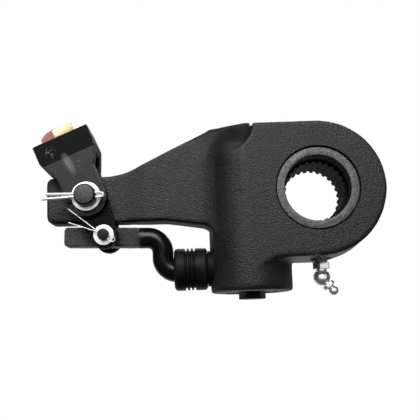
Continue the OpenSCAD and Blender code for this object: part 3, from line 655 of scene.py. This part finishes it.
def turned_metal(name, colour, dark, roughness, density, centre=(0, 0, 0), groove=0.02 * MM):
    """Bare turned metal: rings round a Y axis through the centre, with faint oil stains."""
    made, tree, shader, place = new_material(name, metallic=1.0)
    moved = tree.add("Mapping", {"Vector": place, "Location": [-c for c in centre]}).outputs[0]
    marks = tree.add("Group", {"Vector": moved, "Density": density}, node_tree=rings_group()).outputs
    stain = tree.span(marks["Stain"], 0.42, 0.7)
    tone = tree.mix(tree.span(marks["Groove"], 0.3, 0.7), [0.82 * c for c in colour], colour)
    tree.put(shader.inputs["Base Color"], tree.mix(stain, tone, dark))
    tree.put(shader.inputs["Roughness"], tree.span(marks["Stain"], 0.3, 0.7, roughness, roughness + 0.16))
    bump(tree, shader, marks["Groove"], groove, 0.5)
    return made


def gear_steel():
    """Turned steel of the worm, the pinion and the rack."""
    steel = settings("hardware").steel
    return turned_metal("gear_steel", steel, [0.6 * c for c in steel], 0.5, 2600.0)


def hub_steel():
    """The wheel's hub: faced grey ends round a dark oiled bore, which is darkened further as painted shade."""
    made, tree, shader, place = new_material("hub_steel", Specular_IOR_Level=0.4)
    steel = settings("hardware").steel
    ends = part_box("worm_wheel")
    deep = tree.add("SeparateXYZ", {0: place}).outputs[1]
    faced = tree.math("MAXIMUM", tree.span(deep, ends[0].y + 0.7 * MM, ends[0].y + 0.3 * MM),
                      tree.span(deep, ends[1].y - 0.7 * MM, ends[1].y - 0.3 * MM))
    marks = tree.add("Group", {"Vector": place, "Density": 2600.0}, node_tree=rings_group()).outputs
    grit = tree.noise(place, 1600.0, 3.0)
    mottle = tree.noise(place, 700.0, 3.0)
    cool = tree.mix(tree.span(mottle, 0.38, 0.64), [0.7 * c for c in steel],
                    (1.35 * steel[0], 1.33 * steel[1], 1.36 * steel[2]))
    turned_face = tree.mix(tree.span(grit, 0.60, 0.70), cool, (0.55, 0.54, 0.54))
    # painted shade in the bore: oiled steel made near black, with no metal and its sheen cut to 0.03, so the bore reads
    # as dark as its shade
    oiled = tree.mix(tree.span(marks["Stain"], 0.4, 0.68), (0.005, 0.005, 0.005), (0.012, 0.0115, 0.011))
    tree.put(shader.inputs["Metallic"], tree.math("MULTIPLY", faced, 0.3))
    tree.put(shader.inputs["Specular IOR Level"], tree.span(faced, 0.0, 1.0, 0.03, 0.4))
    tree.put(shader.inputs["Base Color"], tree.mix(faced, oiled, turned_face))
    tree.put(shader.inputs["Roughness"], tree.span(grit, 0.35, 0.65, 0.5, 0.7))
    bump(tree, shader, tree.math("ADD", marks["Groove"], grit), 0.03 * MM, 0.6)
    return made


def cover_steel():
    """Turned steel of the rear cover."""
    return turned_metal("cover_steel", (0.20, 0.20, 0.205), (0.10, 0.10, 0.10), 0.4, 1800.0)


def pin_steel():
    """Dark oiled steel of the pins, with scuffs. The link pin is the darker one."""
    made, tree, shader, place = new_material("pin_steel", metallic=1.0)
    spots = tree.noise(place, 520.0, 4.0, 0.6)
    away = tree.add("VectorMath", {0: place, 1: LINK}, operation="DISTANCE").outputs["Value"]
    steel = tree.mix(tree.span(spots, 0.4, 0.66), (0.060, 0.058, 0.056), (0.105, 0.102, 0.098))
    oiled = tree.mix(tree.span(spots, 0.4, 0.66), (0.022, 0.021, 0.021), (0.045, 0.044, 0.043))
    high = tree.add("SeparateXYZ", {0: place}).outputs[2]
    near = tree.math("MULTIPLY", tree.span(away, 31 * MM, 28 * MM), tree.span(high, -8 * MM, -10 * MM))
    tree.put(shader.inputs["Base Color"], tree.mix(near, steel, oiled))
    tree.put(shader.inputs["Roughness"], tree.span(spots, 0.35, 0.65, 0.50, 0.62))
    bump(tree, shader, spots, 0.04 * MM, 0.4)
    return made


def spotted_metal(name, colours, fade, cloud, roughness, depth, metallic=1.0, **sockets):
    """Metal whose second colour lies in cloudy spots that are rougher too."""
    made, tree, shader, place = new_material(name, metallic, **sockets)
    spots = tree.noise(place, *cloud)
    tree.put(shader.inputs["Base Color"], tree.mix(tree.span(spots, *fade), *colours))
    tree.put(shader.inputs["Roughness"], tree.span(spots, 0.35, 0.65, *roughness))
    bump(tree, shader, spots, depth, 0.4)
    return made


def black_steel():
    """Phosphated steel of the adjusting shaft and its retainer."""
    return spotted_metal("black_steel", ((0.052, 0.051, 0.050), (0.12, 0.118, 0.115)), (0.4, 0.7), (700.0, 4.0, 0.6),
                         (0.38, 0.52), 0.05 * MM, metallic=0.4, Specular_IOR_Level=0.5)


def bright_zinc():
    """Bright zinc plating: a cool silver with faint cloudy patches."""
    made, tree, shader, place = new_material("bright_zinc", metallic=0.35)
    zinc = settings("hardware").zinc
    cloud = tree.noise(place, 380.0, 3.0)
    tree.put(shader.inputs["Base Color"], tree.mix(tree.span(cloud, 0.4, 0.68), zinc, [0.82 * c for c in zinc]))
    tree.put(shader.inputs["Roughness"], tree.span(cloud, 0.35, 0.65, 0.18, 0.30))
    bump(tree, shader, tree.noise(place, 2400.0, 2.0), 0.02 * MM, 0.3)
    return made


def polished_zinc():
    """Polished plating of the grease fitting, which mirrors what stands round it."""
    made, tree, shader, place = new_material("polished_zinc", metallic=0.86)
    zinc = settings("hardware").zinc
    cloud = tree.noise(place, 500.0, 3.0)
    tree.put(shader.inputs["Base Color"], tree.mix(tree.span(cloud, 0.45, 0.7), zinc, [0.85 * c for c in zinc]))
    tree.put(shader.inputs["Roughness"], tree.span(cloud, 0.35, 0.65, 0.22, 0.28))
    bump(tree, shader, tree.noise(place, 1200.0, 2.0), 0.01 * MM, 0.1)
    return made


def yellow_zinc():
    """Yellow chromate over zinc: gold with rosy and greenish bands."""
    made, tree, shader, place = new_material("yellow_zinc", metallic=0.25)
    gold = settings("hardware").gold
    across = tree.add("SeparateXYZ", {0: on_clevis(tree, place)}).outputs[0]
    band = tree.noise(place, 95.0, 3.0)
    warm = tree.mix(tree.span(band, 0.40, 0.62), gold, (0.80, 0.64, 0.40))
    rosy = tree.mix(tree.span(across, -1.6 * MM, -3.4 * MM), warm, (1.0, 0.46, 0.42))
    green = tree.span(tree.math("ADD", across, tree.math("MULTIPLY", band, 4 * MM)), 10.5 * MM, 12.5 * MM)
    tree.put(shader.inputs["Base Color"], tree.mix(green, rosy, (0.55, 0.56, 0.46)))
    tree.put(shader.inputs["Roughness"], tree.span(tree.noise(place, 600.0, 3.0), 0.35, 0.65, 0.24, 0.38))
    bump(tree, shader, tree.noise(place, 2000.0, 2.0), 0.02 * MM, 0.3)
    return made


def bronze():
    """Oiled bronze of the bushing and the thrust washers."""
    return spotted_metal("bronze", ((0.55, 0.33, 0.13), (0.30, 0.16, 0.06)), (0.4, 0.68), (420.0, 4.0), (0.3, 0.46),
                         0.03 * MM)


def spring_steel():
    """Hardened steel of the springs, the ring and the small pins."""
    return spotted_metal("spring_steel", ((0.34, 0.34, 0.35), (0.16, 0.16, 0.17)), (0.4, 0.66), (900.0, 3.0),
                         (0.28, 0.42), 0.02 * MM)


MAKERS = {maker.__name__: maker for maker in (
    painted_casting, black_forging, black_rod, rubber, dark_guide, gear_steel, hub_steel, cover_steel, pin_steel,
    black_steel, bright_zinc, polished_zinc, yellow_zinc, bronze, spring_steel)}


# Pieces

class PieceOperator:
    """What the operators share."""

    bl_options = {"REGISTER"}


class SLACK_OT_casting(PieceOperator, bpy.types.Operator):
    """Casts the housing and bores it: one eased skin with crisp machined holes"""

    bl_idname = "slack.casting"
    bl_label = "Housing casting"

    # Machined holes, as (radius, height) pairs along their own axes in millimetres
    CAMSHAFT = ((0, -26), (25.7, -26), (25.7, -21), (24.85, -21), (24.85, -18.5), (26.6, -18.5), (26.6, -16.5),
                (24.85, -16.5), (24.85, -13.3), (33.4, -13.3), (33.4, 13.35), (35.55, 13.35), (35.55, 19.4),
                (37.2, 19.4), (37.2, 20.95), (35.55, 20.95), (35.55, 26), (0, 26))
    WORM_SHAFT = ((0, -62), (16, -62), (16, -54.3), (13.2, -54.3), (13.2, 19.5), (4.05, 19.5), (4.05, 32), (0, 32))
    RACK_PORT = ((0, -70), (9.32, -70), (9.32, -22), (0, -22))
    PIN_EYE = ((0, -12), (8.5, -12), (8.5, 12), (0, 12))
    FITTING_SEAT = ((0, -44), (6.8, -44), (6.8, -39.9), (3, -39.9), (3, -30), (0, -30))
    # The pad that steps out of the head beside the boss
    PAD_AT = (-43.2 * MM, 0, 12.5 * MM)
    PAD_SIZE = (6 * MM, 2 * HEAD_FACE, 27 * MM)
    # How much the skin grows back after its edges are eased, how deep a corner is filled, how far an edge stands out
    REGROWTH, CORNER, EDGE = 0.06 * MM, 0.05 * MM, 0.11 * MM
    RIPPLE_LENGTH = 4 * MM

    def execute(self, context):
        made = settings("casting")
        core = cast_skin(self.plugged(), made.skin, 0, 0)
        self.sink_scoops(core)
        skin = cast_skin(core, made.skin, made.passes, self.REGROWTH)
        fill_corners(skin, self.CORNER, made.fillets)
        for chosen, passes in ((self.scoop_lip, 12), (self.shoulder, 24), (self.lower_rim, 10)):
            soften(skin, chosen(skin), passes)
        skin.normal_update()
        for v in skin.verts:
            v.co += v.normal * made.ripple * noise.noise(v.co / self.RIPPLE_LENGTH)
        mark_edges(skin, self.EDGE)
        tools = [turned([(r * MM, h * MM) for r, h in profile], place, 128)
                 for profile, place in ((self.CAMSHAFT, ALONG_Y), (self.WORM_SHAFT, AT_WORM),
                                        (self.RACK_PORT, AT_RACK), (self.PIN_EYE, AT_PIN),
                                        (self.FITTING_SEAT, AT_FITTING))]
        piece("housing_casting", bored(skin, tools), finish("painted_casting"), "housing", ["housing"])
        return {"FINISHED"}

    def plugged(self):
        """The housing with its holes filled, so that one skin closes over it, and with the pad beside the boss."""
        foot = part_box("housing")[0].z
        bm = cad_copy("housing")
        for radius, low, high, place in ((38 * MM, -HEAD_FACE, HEAD_FACE, ALONG_Y),
                                         (16.6 * MM, foot, 33 * MM, AT_WORM),
                                         (9.5 * MM, -64.5 * MM, -20 * MM, AT_RACK),
                                         (9 * MM, -8.1 * MM, 8.1 * MM, AT_PIN),
                                         (6.6 * MM, -40.5 * MM, -32 * MM, AT_FITTING)):
            plug = cylinder(radius, low, high, place)
            filler = bpy.data.meshes.new("plug")
            plug.to_mesh(filler)
            plug.free()
            bm.from_mesh(filler)
        pad = Matrix.Translation(self.PAD_AT) @ Matrix.Diagonal((*self.PAD_SIZE, 1))
        bmesh.ops.create_cube(bm, size=1.0, matrix=pad)
        return bm

    @staticmethod
    def sink_scoops(skin):
        """Tapers the boss's top inside both scoops, and raises the ridge between them to the arm's outline."""
        for v in skin.verts:
            if v.co.x < SCOOP[0]:
                share = smooth_step(v.co.x, *SCOOP_FROM_X) * smooth_step(v.co.z, *SCOOP_FROM_Z)
            else:
                share = smooth_step(from_scoop(v.co)[0], SCOOP_R, SCOOP_R - SCOOP_EDGE)
            if not share:
                continue
            rise = RIDGE_RISE * ramp(v.co.x, *RIDGE_X)
            v.co.z += share ** 3 * rise * smooth_step(v.co.z, *RIDGE_Z)
            up = v.co.z - TAPER_FOOT
            boss = math.sqrt(max(0.0, BOSS_R ** 2 - min(0.0, v.co.x - WORM.x) ** 2))
            taper = boss - (up + math.hypot(up, TAPER_ROLL)) / 2
            web = WEB - WEB_STEP * smooth_step(v.co.x, *WEB_STEP_X)
            depth = (web + taper + math.hypot(web - taper, WEB_FILLET)) / 2
            if abs(v.co.y) > depth:
                v.co.y = math.copysign(abs(v.co.y) * (1 - share) + depth * share, v.co.y)

    @staticmethod
    def scoop_lip(skin):
        """Points round the scoops' lower lip, where the boss rolls back into the arm."""
        lip = []
        for v in skin.verts:
            far, angle = from_scoop(v.co)
            if abs(far - SCOOP_R) < 6 * MM and -130 < angle < -58 and abs(v.co.y) > 9 * MM:
                lip.append(v)
        return lip

    @staticmethod
    def shoulder(skin):
        """Points where the arm swells into the scoops."""
        return [v for v in skin.verts if -78 * MM < v.co.x < -57 * MM and v.co.z > 18 * MM and abs(v.co.y) > 8.5 * MM]

    @staticmethod
    def lower_rim(skin):
        """Points along the edges that face down, which are rounder than the others."""
        skin.normal_update()
        return widened([v for v in skin.verts if v.normal.z < -0.25 and abs(v.co.y) > 8 * MM
                        and standing_out(v) > 0.05 * MM], 2)


class SLACK_OT_wheel(PieceOperator, bpy.types.Operator):
    """Breaks the hub's edges on the worm wheel"""

    bl_idname = "slack.wheel"
    bl_label = "Worm wheel"

    def execute(self, context):
        low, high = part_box("worm_wheel")
        ends = (low.y, high.y)
        bm = eased_copy("worm_wheel", 0.4 * MM, where=lambda p: min(abs(p.y - y) for y in ends) < 0.01 * MM)
        piece("splined_wheel", bm, finish("hub_steel"), "worm_wheel", ["worm_wheel"])
        return {"FINISHED"}


class SLACK_OT_clevis(PieceOperator, bpy.types.Operator):
    """Forges the clevis: one eased skin with rubbed edges"""

    bl_idname = "slack.clevis"
    bl_label = "Clevis"

    def execute(self, context):
        made = settings("linkage")
        skin = cast_skin(cad_copy("clevis"), made.skin, made.passes, 0.04 * MM)
        mark_edges(skin, 0.06 * MM)
        piece("clevis_forging", skin, finish("black_forging"), "clevis", ["clevis"])
        return {"FINISHED"}


class SLACK_OT_control_rod(PieceOperator, bpy.types.Operator):
    """Eases the bent control rod into one smooth bar"""

    bl_idname = "slack.control_rod"
    bl_label = "Control rod"

    def execute(self, context):
        made = settings("linkage")
        skin = cast_skin(cad_copy("control_rod"), made.skin, made.passes, 0.2 * MM)
        mark_edges(skin, 0.06 * MM)
        reach = 20 * MM
        eye = cylinder(bore_radius("control_rod", LINK), -reach, reach, AT_LINK, 64)
        piece("bent_rod", bored(skin, [eye]), finish("black_rod"), "control_rod", ["control_rod"])
        return {"FINISHED"}


class SLACK_OT_boot(PieceOperator, bpy.types.Operator):
    """Turns the ribbed rubber boot that stretches between the housing and the rack"""

    bl_idname = "slack.boot"
    bl_label = "Boot"

    # Middles of the grooves along X, and one groove's outline as (step, share of the depth), in millimetres
    GROOVES_X = (-81, -78.5, -76)
    GROOVE = ((-0.75, 0), (-0.4, 1), (0.4, 1), (0.75, 0))

    def execute(self, context):
        low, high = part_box("boot")
        r = (high.z - low.z) / 2
        wall, groove, nose = 2.2 * MM, 1.6 * MM, 2.4 * MM
        neck, lip, drop = 9.4 * MM, 7.4 * MM, 1.7 * MM
        inner = r - groove - 1.4 * MM
        ribs = [(r - groove * share, x * MM + step * MM) for x in self.GROOVES_X for step, share in self.GROOVE]
        tip = [(r - nose + nose * math.cos(a), low.x + nose + nose * math.sin(a))
               for a in [math.radians(-90 + 15 * i) for i in range(7)]]
        profile = [(lip, low.x), *tip, *ribs, (r, high.x - 1.2 * MM),
                   (r - 1.2 * MM, high.x), (neck, high.x), (neck, high.x - 2.6 * MM),
                   (inner, high.x - 4.8 * MM), (inner, low.x + wall + 1 * MM), (lip, low.x + wall)]
        bm = turned(profile, AT_RACK, steps=120, rounding=0.28 * MM)
        for v in bm.verts:
            if v.co.x < low.x + 4 * MM and math.hypot(v.co.y, v.co.z - RACK_Z) < lip + 0.5 * MM:
                v.co.z -= drop
        made = piece("ribbed_boot", bm, finish("rubber"), nodes=["boot"], sharp=60.0)
        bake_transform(made)
        return {"FINISHED"}


class SLACK_OT_guide(PieceOperator, bpy.types.Operator):
    """Turns the rod's guide, with a collar that reaches the boss"""

    bl_idname = "slack.guide"
    bl_label = "Rod guide"

    def execute(self, context):
        low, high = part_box("rod_guide")
        neck, collar, collar_x = 9.3 * MM, 11.0 * MM, -67.9 * MM
        inner = min(math.hypot(v.co.y, v.co.z - RACK_Z) for v in frame["nodes"]["rod_guide"].data.vertices)
        profile = [(inner, low.x), (neck, low.x), (neck, collar_x), (collar, collar_x), (collar, high.x),
                   (inner, high.x)]
        bm = turned(profile, AT_RACK, steps=120, rounding=0.2 * MM)
        piece("guide_bush", bm, finish("dark_guide"), "housing", ["rod_guide"])
        return {"FINISHED"}


class SLACK_OT_pins(PieceOperator, bpy.types.Operator):
    """Turns both pins' edges and stamps their washers"""

    bl_idname = "slack.pins"
    bl_label = "Pins and washers"

    def execute(self, context):
        ease = settings("hardware").ease
        for node, place, home in (("clevis_pin", PIN, AT_PIN), ("link_pin", LINK, AT_LINK)):
            piece(node + "_turned", eased_copy(node, ease), finish("pin_steel"), "clevis", [node])
            low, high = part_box(node + "_washer")
            inner = bore_radius(node + "_washer", place)
            outer = (high.x - low.x) / 2
            ring = [(inner, low.y), (outer, low.y), (outer, high.y), (inner, high.y)]
            bm = turned(ring, home, steps=72, rounding=0.3 * MM)
            piece(node + "_washer_stamped", bm, finish("bright_zinc"), "clevis", [node + "_washer"])
        return {"FINISHED"}


class SLACK_OT_cotters(PieceOperator, bpy.types.Operator):
    """Bends the two split cotters out of round wire"""

    bl_idname = "slack.cotters"
    bl_label = "Cotters"

    # Pin, turn in degrees, and in millimetres: the wire's radius, the eye's half sizes and middle, where the legs
    # bend, where they end, and how many degrees they open
    COTTERS = {"clevis_cotter": (PIN, 0.0, 0.9, (3.4, 1.45), 7.6, -7.6, (-23.4, -25.8), (1.2, 2.6)),
               "link_cotter": (LINK, 29.0, 0.36, (2.4, 1.7), 5.6, -4.6, (-26.3, -22.0), (9.5, 9.5))}

    def execute(self, context):
        for node, (pin, turn, wire, eye_r, eye_x, bend_x, ends, bends) in self.COTTERS.items():
            path = self.route(wire, eye_r, eye_x, bend_x, ends, [math.radians(b) for b in bends])
            at = Matrix.Translation((pin.x, middle(node).y, pin.z)) @ Matrix.Rotation(math.radians(turn), 4, "Y")
            bm = swept([at @ (point * MM) for point in path], wire * MM)
            piece(node + "_wire", bm, finish("bright_zinc"), "clevis", [node], sharp=60.0)
        return {"FINISHED"}

    @staticmethod
    def route(wire, eye_r, eye_x, bend_x, ends, bends):
        """Middle line of the wire: up one leg, round the eye and back down the other, in millimetres."""
        legs = []
        for end_x, bend in zip(ends, bends):
            long = bend_x - end_x
            corner = Vector((bend_x, 0, wire))
            tip = Vector((bend_x - long * math.cos(bend) + wire * math.sin(bend), 0,
                          long * math.sin(bend) + wire * math.cos(bend)))
            early, late = corner + Vector((1.2, 0, 0)), corner.lerp(tip, 0.08)
            legs.append([tip, corner.lerp(tip, 0.5), late, corner + Vector((0.1, 0, 0.03)), early])
        upper, lower = legs
        open_angle = math.pi - math.asin(wire / eye_r[1])
        eye = [Vector((eye_x + eye_r[0] * math.cos(a), 0, eye_r[1] * math.sin(a)))
               for a in [open_angle * (1 - i / 12) for i in range(25)]]
        return upper + eye + [Vector((p.x, 0, -p.z)) for p in reversed(lower)]


class SLACK_OT_lock_nut(PieceOperator, bpy.types.Operator):
    """Lowers the lock nut's top, breaks its edges and lays a thread ridge inside it and the clevis"""

    bl_idname = "slack.lock_nut"
    bl_label = "Lock nut and thread"

    def execute(self, context):
        nut = eased_copy("lock_nut", 0.2 * MM)
        heights = {v: (AT_CLEVIS.inverted() @ v.co).z for v in nut.verts}
        top, axis = max(heights.values()), Vector(THREAD["axis"]).normalized()
        rim, drop = 2.6 * MM, 1.3 * MM
        for v, height in heights.items():
            if height > top - rim:
                v.co -= drop * axis
        piece("hexagon_nut", nut, finish("yellow_zinc"), "clevis", ["lock_nut"])
        pitch, crest = 1.5 * MM, 0.85 * MM
        for name, start, length, look, slot in (("clevis_thread", 26.5, 15.0, "black_forging", "black_forging"),
                                                ("nut_thread", 42.7, 7.3, "yellow_zinc", "yellow_zinc")):
            bm = self.thread(pitch, crest, length * MM)
            bm.transform(AT_CLEVIS @ Matrix.Translation((0, 0, start * MM)))
            piece(name, bm, finish(look), "clevis", sharp=50.0)
        return {"FINISHED"}

    @staticmethod
    def thread(pitch, crest, length):
        """A helical ridge inside the bore."""
        bm = bmesh.new()
        root = THREAD_R + 0.05 * MM
        corners = [(root, -0.42 * pitch), (THREAD_R - crest, -0.08 * pitch), (THREAD_R - crest, 0.08 * pitch),
                   (root, 0.42 * pitch)]
        face = bm.faces.new([bm.verts.new((r, 0, h)) for r, h in corners])
        turns = (length - pitch) / pitch
        steps = int(36 * turns)
        bmesh.ops.spin(bm, geom=[face] + face.edges[:] + face.verts[:], cent=(0, 0, 0), axis=(0, 0, 1),
                       dvec=(0, 0, (length - pitch) / steps), angle=turns * FULL_TURN, steps=steps)
        bmesh.ops.recalc_face_normals(bm, faces=bm.faces)
        return bm


class SLACK_OT_grease_fitting(PieceOperator, bpy.types.Operator):
    """Breaks the edges of the grease fitting and its nipple"""

    bl_idname = "slack.grease_fitting"
    bl_label = "Grease fitting"

    def execute(self, context):
        for node in ("grease_fitting", "grease_nipple"):
            piece(node + "_plated", eased_copy(node, 0.22 * MM), finish("polished_zinc"), "housing",
                  [node])
        return {"FINISHED"}


class SLACK_OT_covers(PieceOperator, bpy.types.Operator):
    """Breaks the edges of the rear cover, its ring, the retainer and the adjusting hexagon"""

    bl_idname = "slack.covers"
    bl_label = "Covers and adjuster"

    def execute(self, context):
        ease = settings("hardware").ease
        for node, name, look, slot, body in (
                ("rear_cover", "cover_plate", "cover_steel", "cover_steel", "housing"),
                ("cover_ring", "split_ring", "spring_steel", "spring_steel", "housing"),
                ("shaft_retainer", "threaded_retainer", "black_steel", "black_steel", "housing"),
                ("adjusting_shaft", "adjuster", "black_steel", "black_steel", "worm_shaft")):
            piece(name, eased_copy(node, ease), finish(look), body, [node])
        return {"FINISHED"}


class SLACK_OT_inner_works(PieceOperator, bpy.types.Operator):
    """Gives the pieces inside the casting their finishes"""

    bl_idname = "slack.inner_works"
    bl_label = "Inner works"

    def execute(self, context):
        for look, nodes in (("gear_steel", ("worm", "pinion", "rack", "worm_key")),
                            ("spring_steel", ("clutch_spring", "rack_pin", "grease_check_ball")),
                            ("bronze", ("arm_bushing", "upper_thrust_washer", "lower_thrust_washer")),
                            ("rubber", ("front_seal", "rear_seal", "shaft_seal"))):
            for node in nodes:
                mesh = frame["nodes"][node].data
                mesh.materials.clear()
                mesh.materials.append(finish(look))
        return {"FINISHED"}


class SLACK_OT_stage(PieceOperator, bpy.types.Operator):
    """Sets the floor, the soft light and the camera"""

    bl_idname = "slack.stage"
    bl_label = "Stage"

    CAMERA_AT = (-0.06792, -0.515, -0.08694)
    CAMERA_AHEAD = (0.0053, 0.98841, 0.15173)
    CAMERA_RIGHT = (0.99939, 0, -0.0349)
    # Place, width and height of the soft boxes
    KEY_BOX = ((-0.23, -1.12, 0.80), 1.1, 0.85)
    REAR_BOX = ((0.25, 1.25, 0.85), 1.0, 0.8)
    # The card's place from the grease fitting, its width and height, and the pieces that it lights
    CARD = ((0.03, -0.33, 0.07), 0.90, 0.46)
    CARD_LIGHTS = ("grease_fitting_plated", "grease_nipple_plated", "clevis_pin_washer_stamped",
                   "link_pin_washer_stamped")
    FLOOR_R = 6.0

    def execute(self, context):
        made = settings("stage")
        self.camera(context.scene, made)
        self.floor(made)
        self.world(context.scene)
        for name, power, (place, wide, tall) in (("key", made.key, self.KEY_BOX), ("rear", made.rear, self.REAR_BOX)):
            self.soft_box(context.scene, name, power, Vector(place), (wide, tall), middle("housing"))
        self.card(context.scene, made)
        context.scene.view_settings.view_transform = "Standard"
        return {"FINISHED"}

    @staticmethod
    def soft_box(scene, name, power, place, size, aim):
        """Hangs a rectangular light at a place and turns it to what it lights."""
        light = bpy.data.lights.new(name, "AREA")
        light.shape = "RECTANGLE"
        light.energy, (light.size, light.size_y) = power, size
        lamp = bpy.data.objects.new(name, light)
        lamp.location = place
        lamp.rotation_euler = (aim - place).to_track_quat("-Z", "Y").to_euler()
        scene.collection.objects.link(lamp)
        return lamp

    def card(self, scene, made):
        """A bounce card that only the grease fitting and the washers mirror."""
        aim = (middle("grease_fitting") + middle("grease_nipple")) / 2
        away, wide, tall = self.CARD
        lamp = self.soft_box(scene, "card", made.card, aim + Vector(away), (wide, tall), aim)
        lamp.visible_camera = False
        mirrors = bpy.data.collections.new("mirrors_card")
        for name in self.CARD_LIGHTS:
            mirrors.objects.link(bpy.data.objects[name])
        lamp.light_linking.receiver_collection = mirrors

    def camera(self, scene, made):
        """A long lens a little below the part, tilted up at it."""
        lens = bpy.data.cameras.new("camera")
        lens.lens, lens.clip_start = made.lens, 0.01
        ahead, right = Vector(self.CAMERA_AHEAD).normalized(), Vector(self.CAMERA_RIGHT).normalized()
        up = right.cross(ahead).normalized()
        turn = Matrix((right, up, -ahead)).transposed().to_4x4()
        camera = bpy.data.objects.new("camera", lens)
        camera.matrix_world = Matrix.Translation(self.CAMERA_AT) @ turn
        scene.collection.objects.link(camera)
        scene.camera = camera

    def floor(self, made):
        """A wide pale disc under the part, seen from above only."""
        bm = bmesh.new()
        bmesh.ops.create_circle(bm, cap_ends=True, segments=96, radius=self.FLOOR_R)
        bm.transform(Matrix.Translation((0, 0, CAD_BOX[0][2])))
        floor = as_object("floor", bm)
        look = bpy.data.materials.new("pale_floor")
        look.use_nodes = True
        tree = Tree(look.node_tree)
        shader = look.node_tree.nodes["Principled BSDF"]
        shader.inputs["Roughness"].default_value = 0.8
        place = tree.add("TexCoord").outputs["Object"]
        tree.put(shader.inputs["Base Color"], tree.mix(tree.noise(place, 30.0), made.floor,
                                                       [0.96 * c for c in made.floor]))
        far = tree.add("VectorMath", {0: place}, operation="LENGTH").outputs["Value"]
        glow = tree.add("Emission", {"Strength": tree.span(far, 0.5, 2.5, 0.3, 1.0)}).outputs[0]
        pale = tree.add("AddShader", {0: shader.outputs[0], 1: glow}).outputs[0]
        clear = tree.add("BsdfTransparent").outputs[0]
        seen = tree.add("LightPath").outputs["Is Camera Ray"]
        below = tree.add("NewGeometry").outputs["Backfacing"]
        shown = tree.add("MixShader", {0: tree.math("SUBTRACT", seen, below), 1: clear, 2: pale}).outputs[0]
        look.node_tree.links.new(shown, look.node_tree.nodes["Material Output"].inputs[0])
        floor.data.materials.append(look)

    @staticmethod
    def world(scene):
        """White paper behind the part and low behind it, and a dark room in front. The camera sees plain white."""
        world = bpy.data.worlds.new("studio")
        world.use_nodes = True
        tree = Tree(world.node_tree)
        way = tree.add("SeparateXYZ", {0: tree.add("TexCoord").outputs["Generated"]}).outputs
        back = tree.span(way[1], 0.55, 0.95, 0.02, 0.6)
        high = tree.span(way[2], 0.15, 0.45, 1.0, 0.12)
        paper = tree.span(way[1], 0.3, 0.9, 0.04, 1.0)
        low = tree.span(way[2], -0.05, -0.25)
        seen = tree.add("LightPath").outputs["Is Camera Ray"]
        soft = tree.math("MAXIMUM", tree.math("MULTIPLY", back, high), tree.math("MULTIPLY", paper, low))
        strength = tree.add("Mix", {0: seen, 2: soft, 3: 1.0}, data_type="FLOAT").outputs[0]
        sky = world.node_tree.nodes["Background"]
        sky.inputs[0].default_value = (1, 1, 1, 1)
        world.node_tree.links.new(strength, sky.inputs[1])
        scene.world = world


PIECES = (SLACK_OT_casting, SLACK_OT_wheel, SLACK_OT_clevis, SLACK_OT_control_rod, SLACK_OT_boot, SLACK_OT_guide,
          SLACK_OT_pins, SLACK_OT_cotters, SLACK_OT_lock_nut, SLACK_OT_grease_fitting, SLACK_OT_covers,
          SLACK_OT_inner_works, SLACK_OT_stage)
GROUPS = {"slack_casting": CastingSettings, "slack_linkage": LinkageSettings, "slack_hardware": HardwareSettings,
          "slack_stage": StageSettings}


class SLACK_PT_panel(bpy.types.Panel):
    """Lists the pieces and their settings in the sidebar"""

    bl_idname = "SLACK_PT_panel"
    bl_label = "Slack adjuster"
    bl_space_type = "VIEW_3D"
    bl_region_type = "UI"
    bl_category = "Slack adjuster"

    def draw(self, context):
        for name, group in GROUPS.items():
            box = self.layout.box()
            box.label(text=group.__doc__)
            for key in group.__annotations__:
                box.prop(getattr(context.scene, name), key)
        for operator in PIECES:
            self.layout.operator(operator.bl_idname)


CLASSES = (*GROUPS.values(), *PIECES, SLACK_PT_panel)


def register():
    """Adds the classes and each group of settings to the scene."""
    for cls in CLASSES:
        bpy.utils.register_class(cls)
    for name, group in GROUPS.items():
        setattr(bpy.types.Scene, name, PointerProperty(type=group))


def unregister():
    """Takes away what register added."""
    for name in GROUPS:
        delattr(bpy.types.Scene, name)
    for cls in reversed(CLASSES):
        bpy.utils.unregister_class(cls)


def main():
    """Registers the classes and makes every piece in order."""
    register()
    for operator in PIECES:
        module, name = operator.bl_idname.split(".")
        getattr(getattr(bpy.ops, module), name)()


if __name__ == "__main__":
    main()
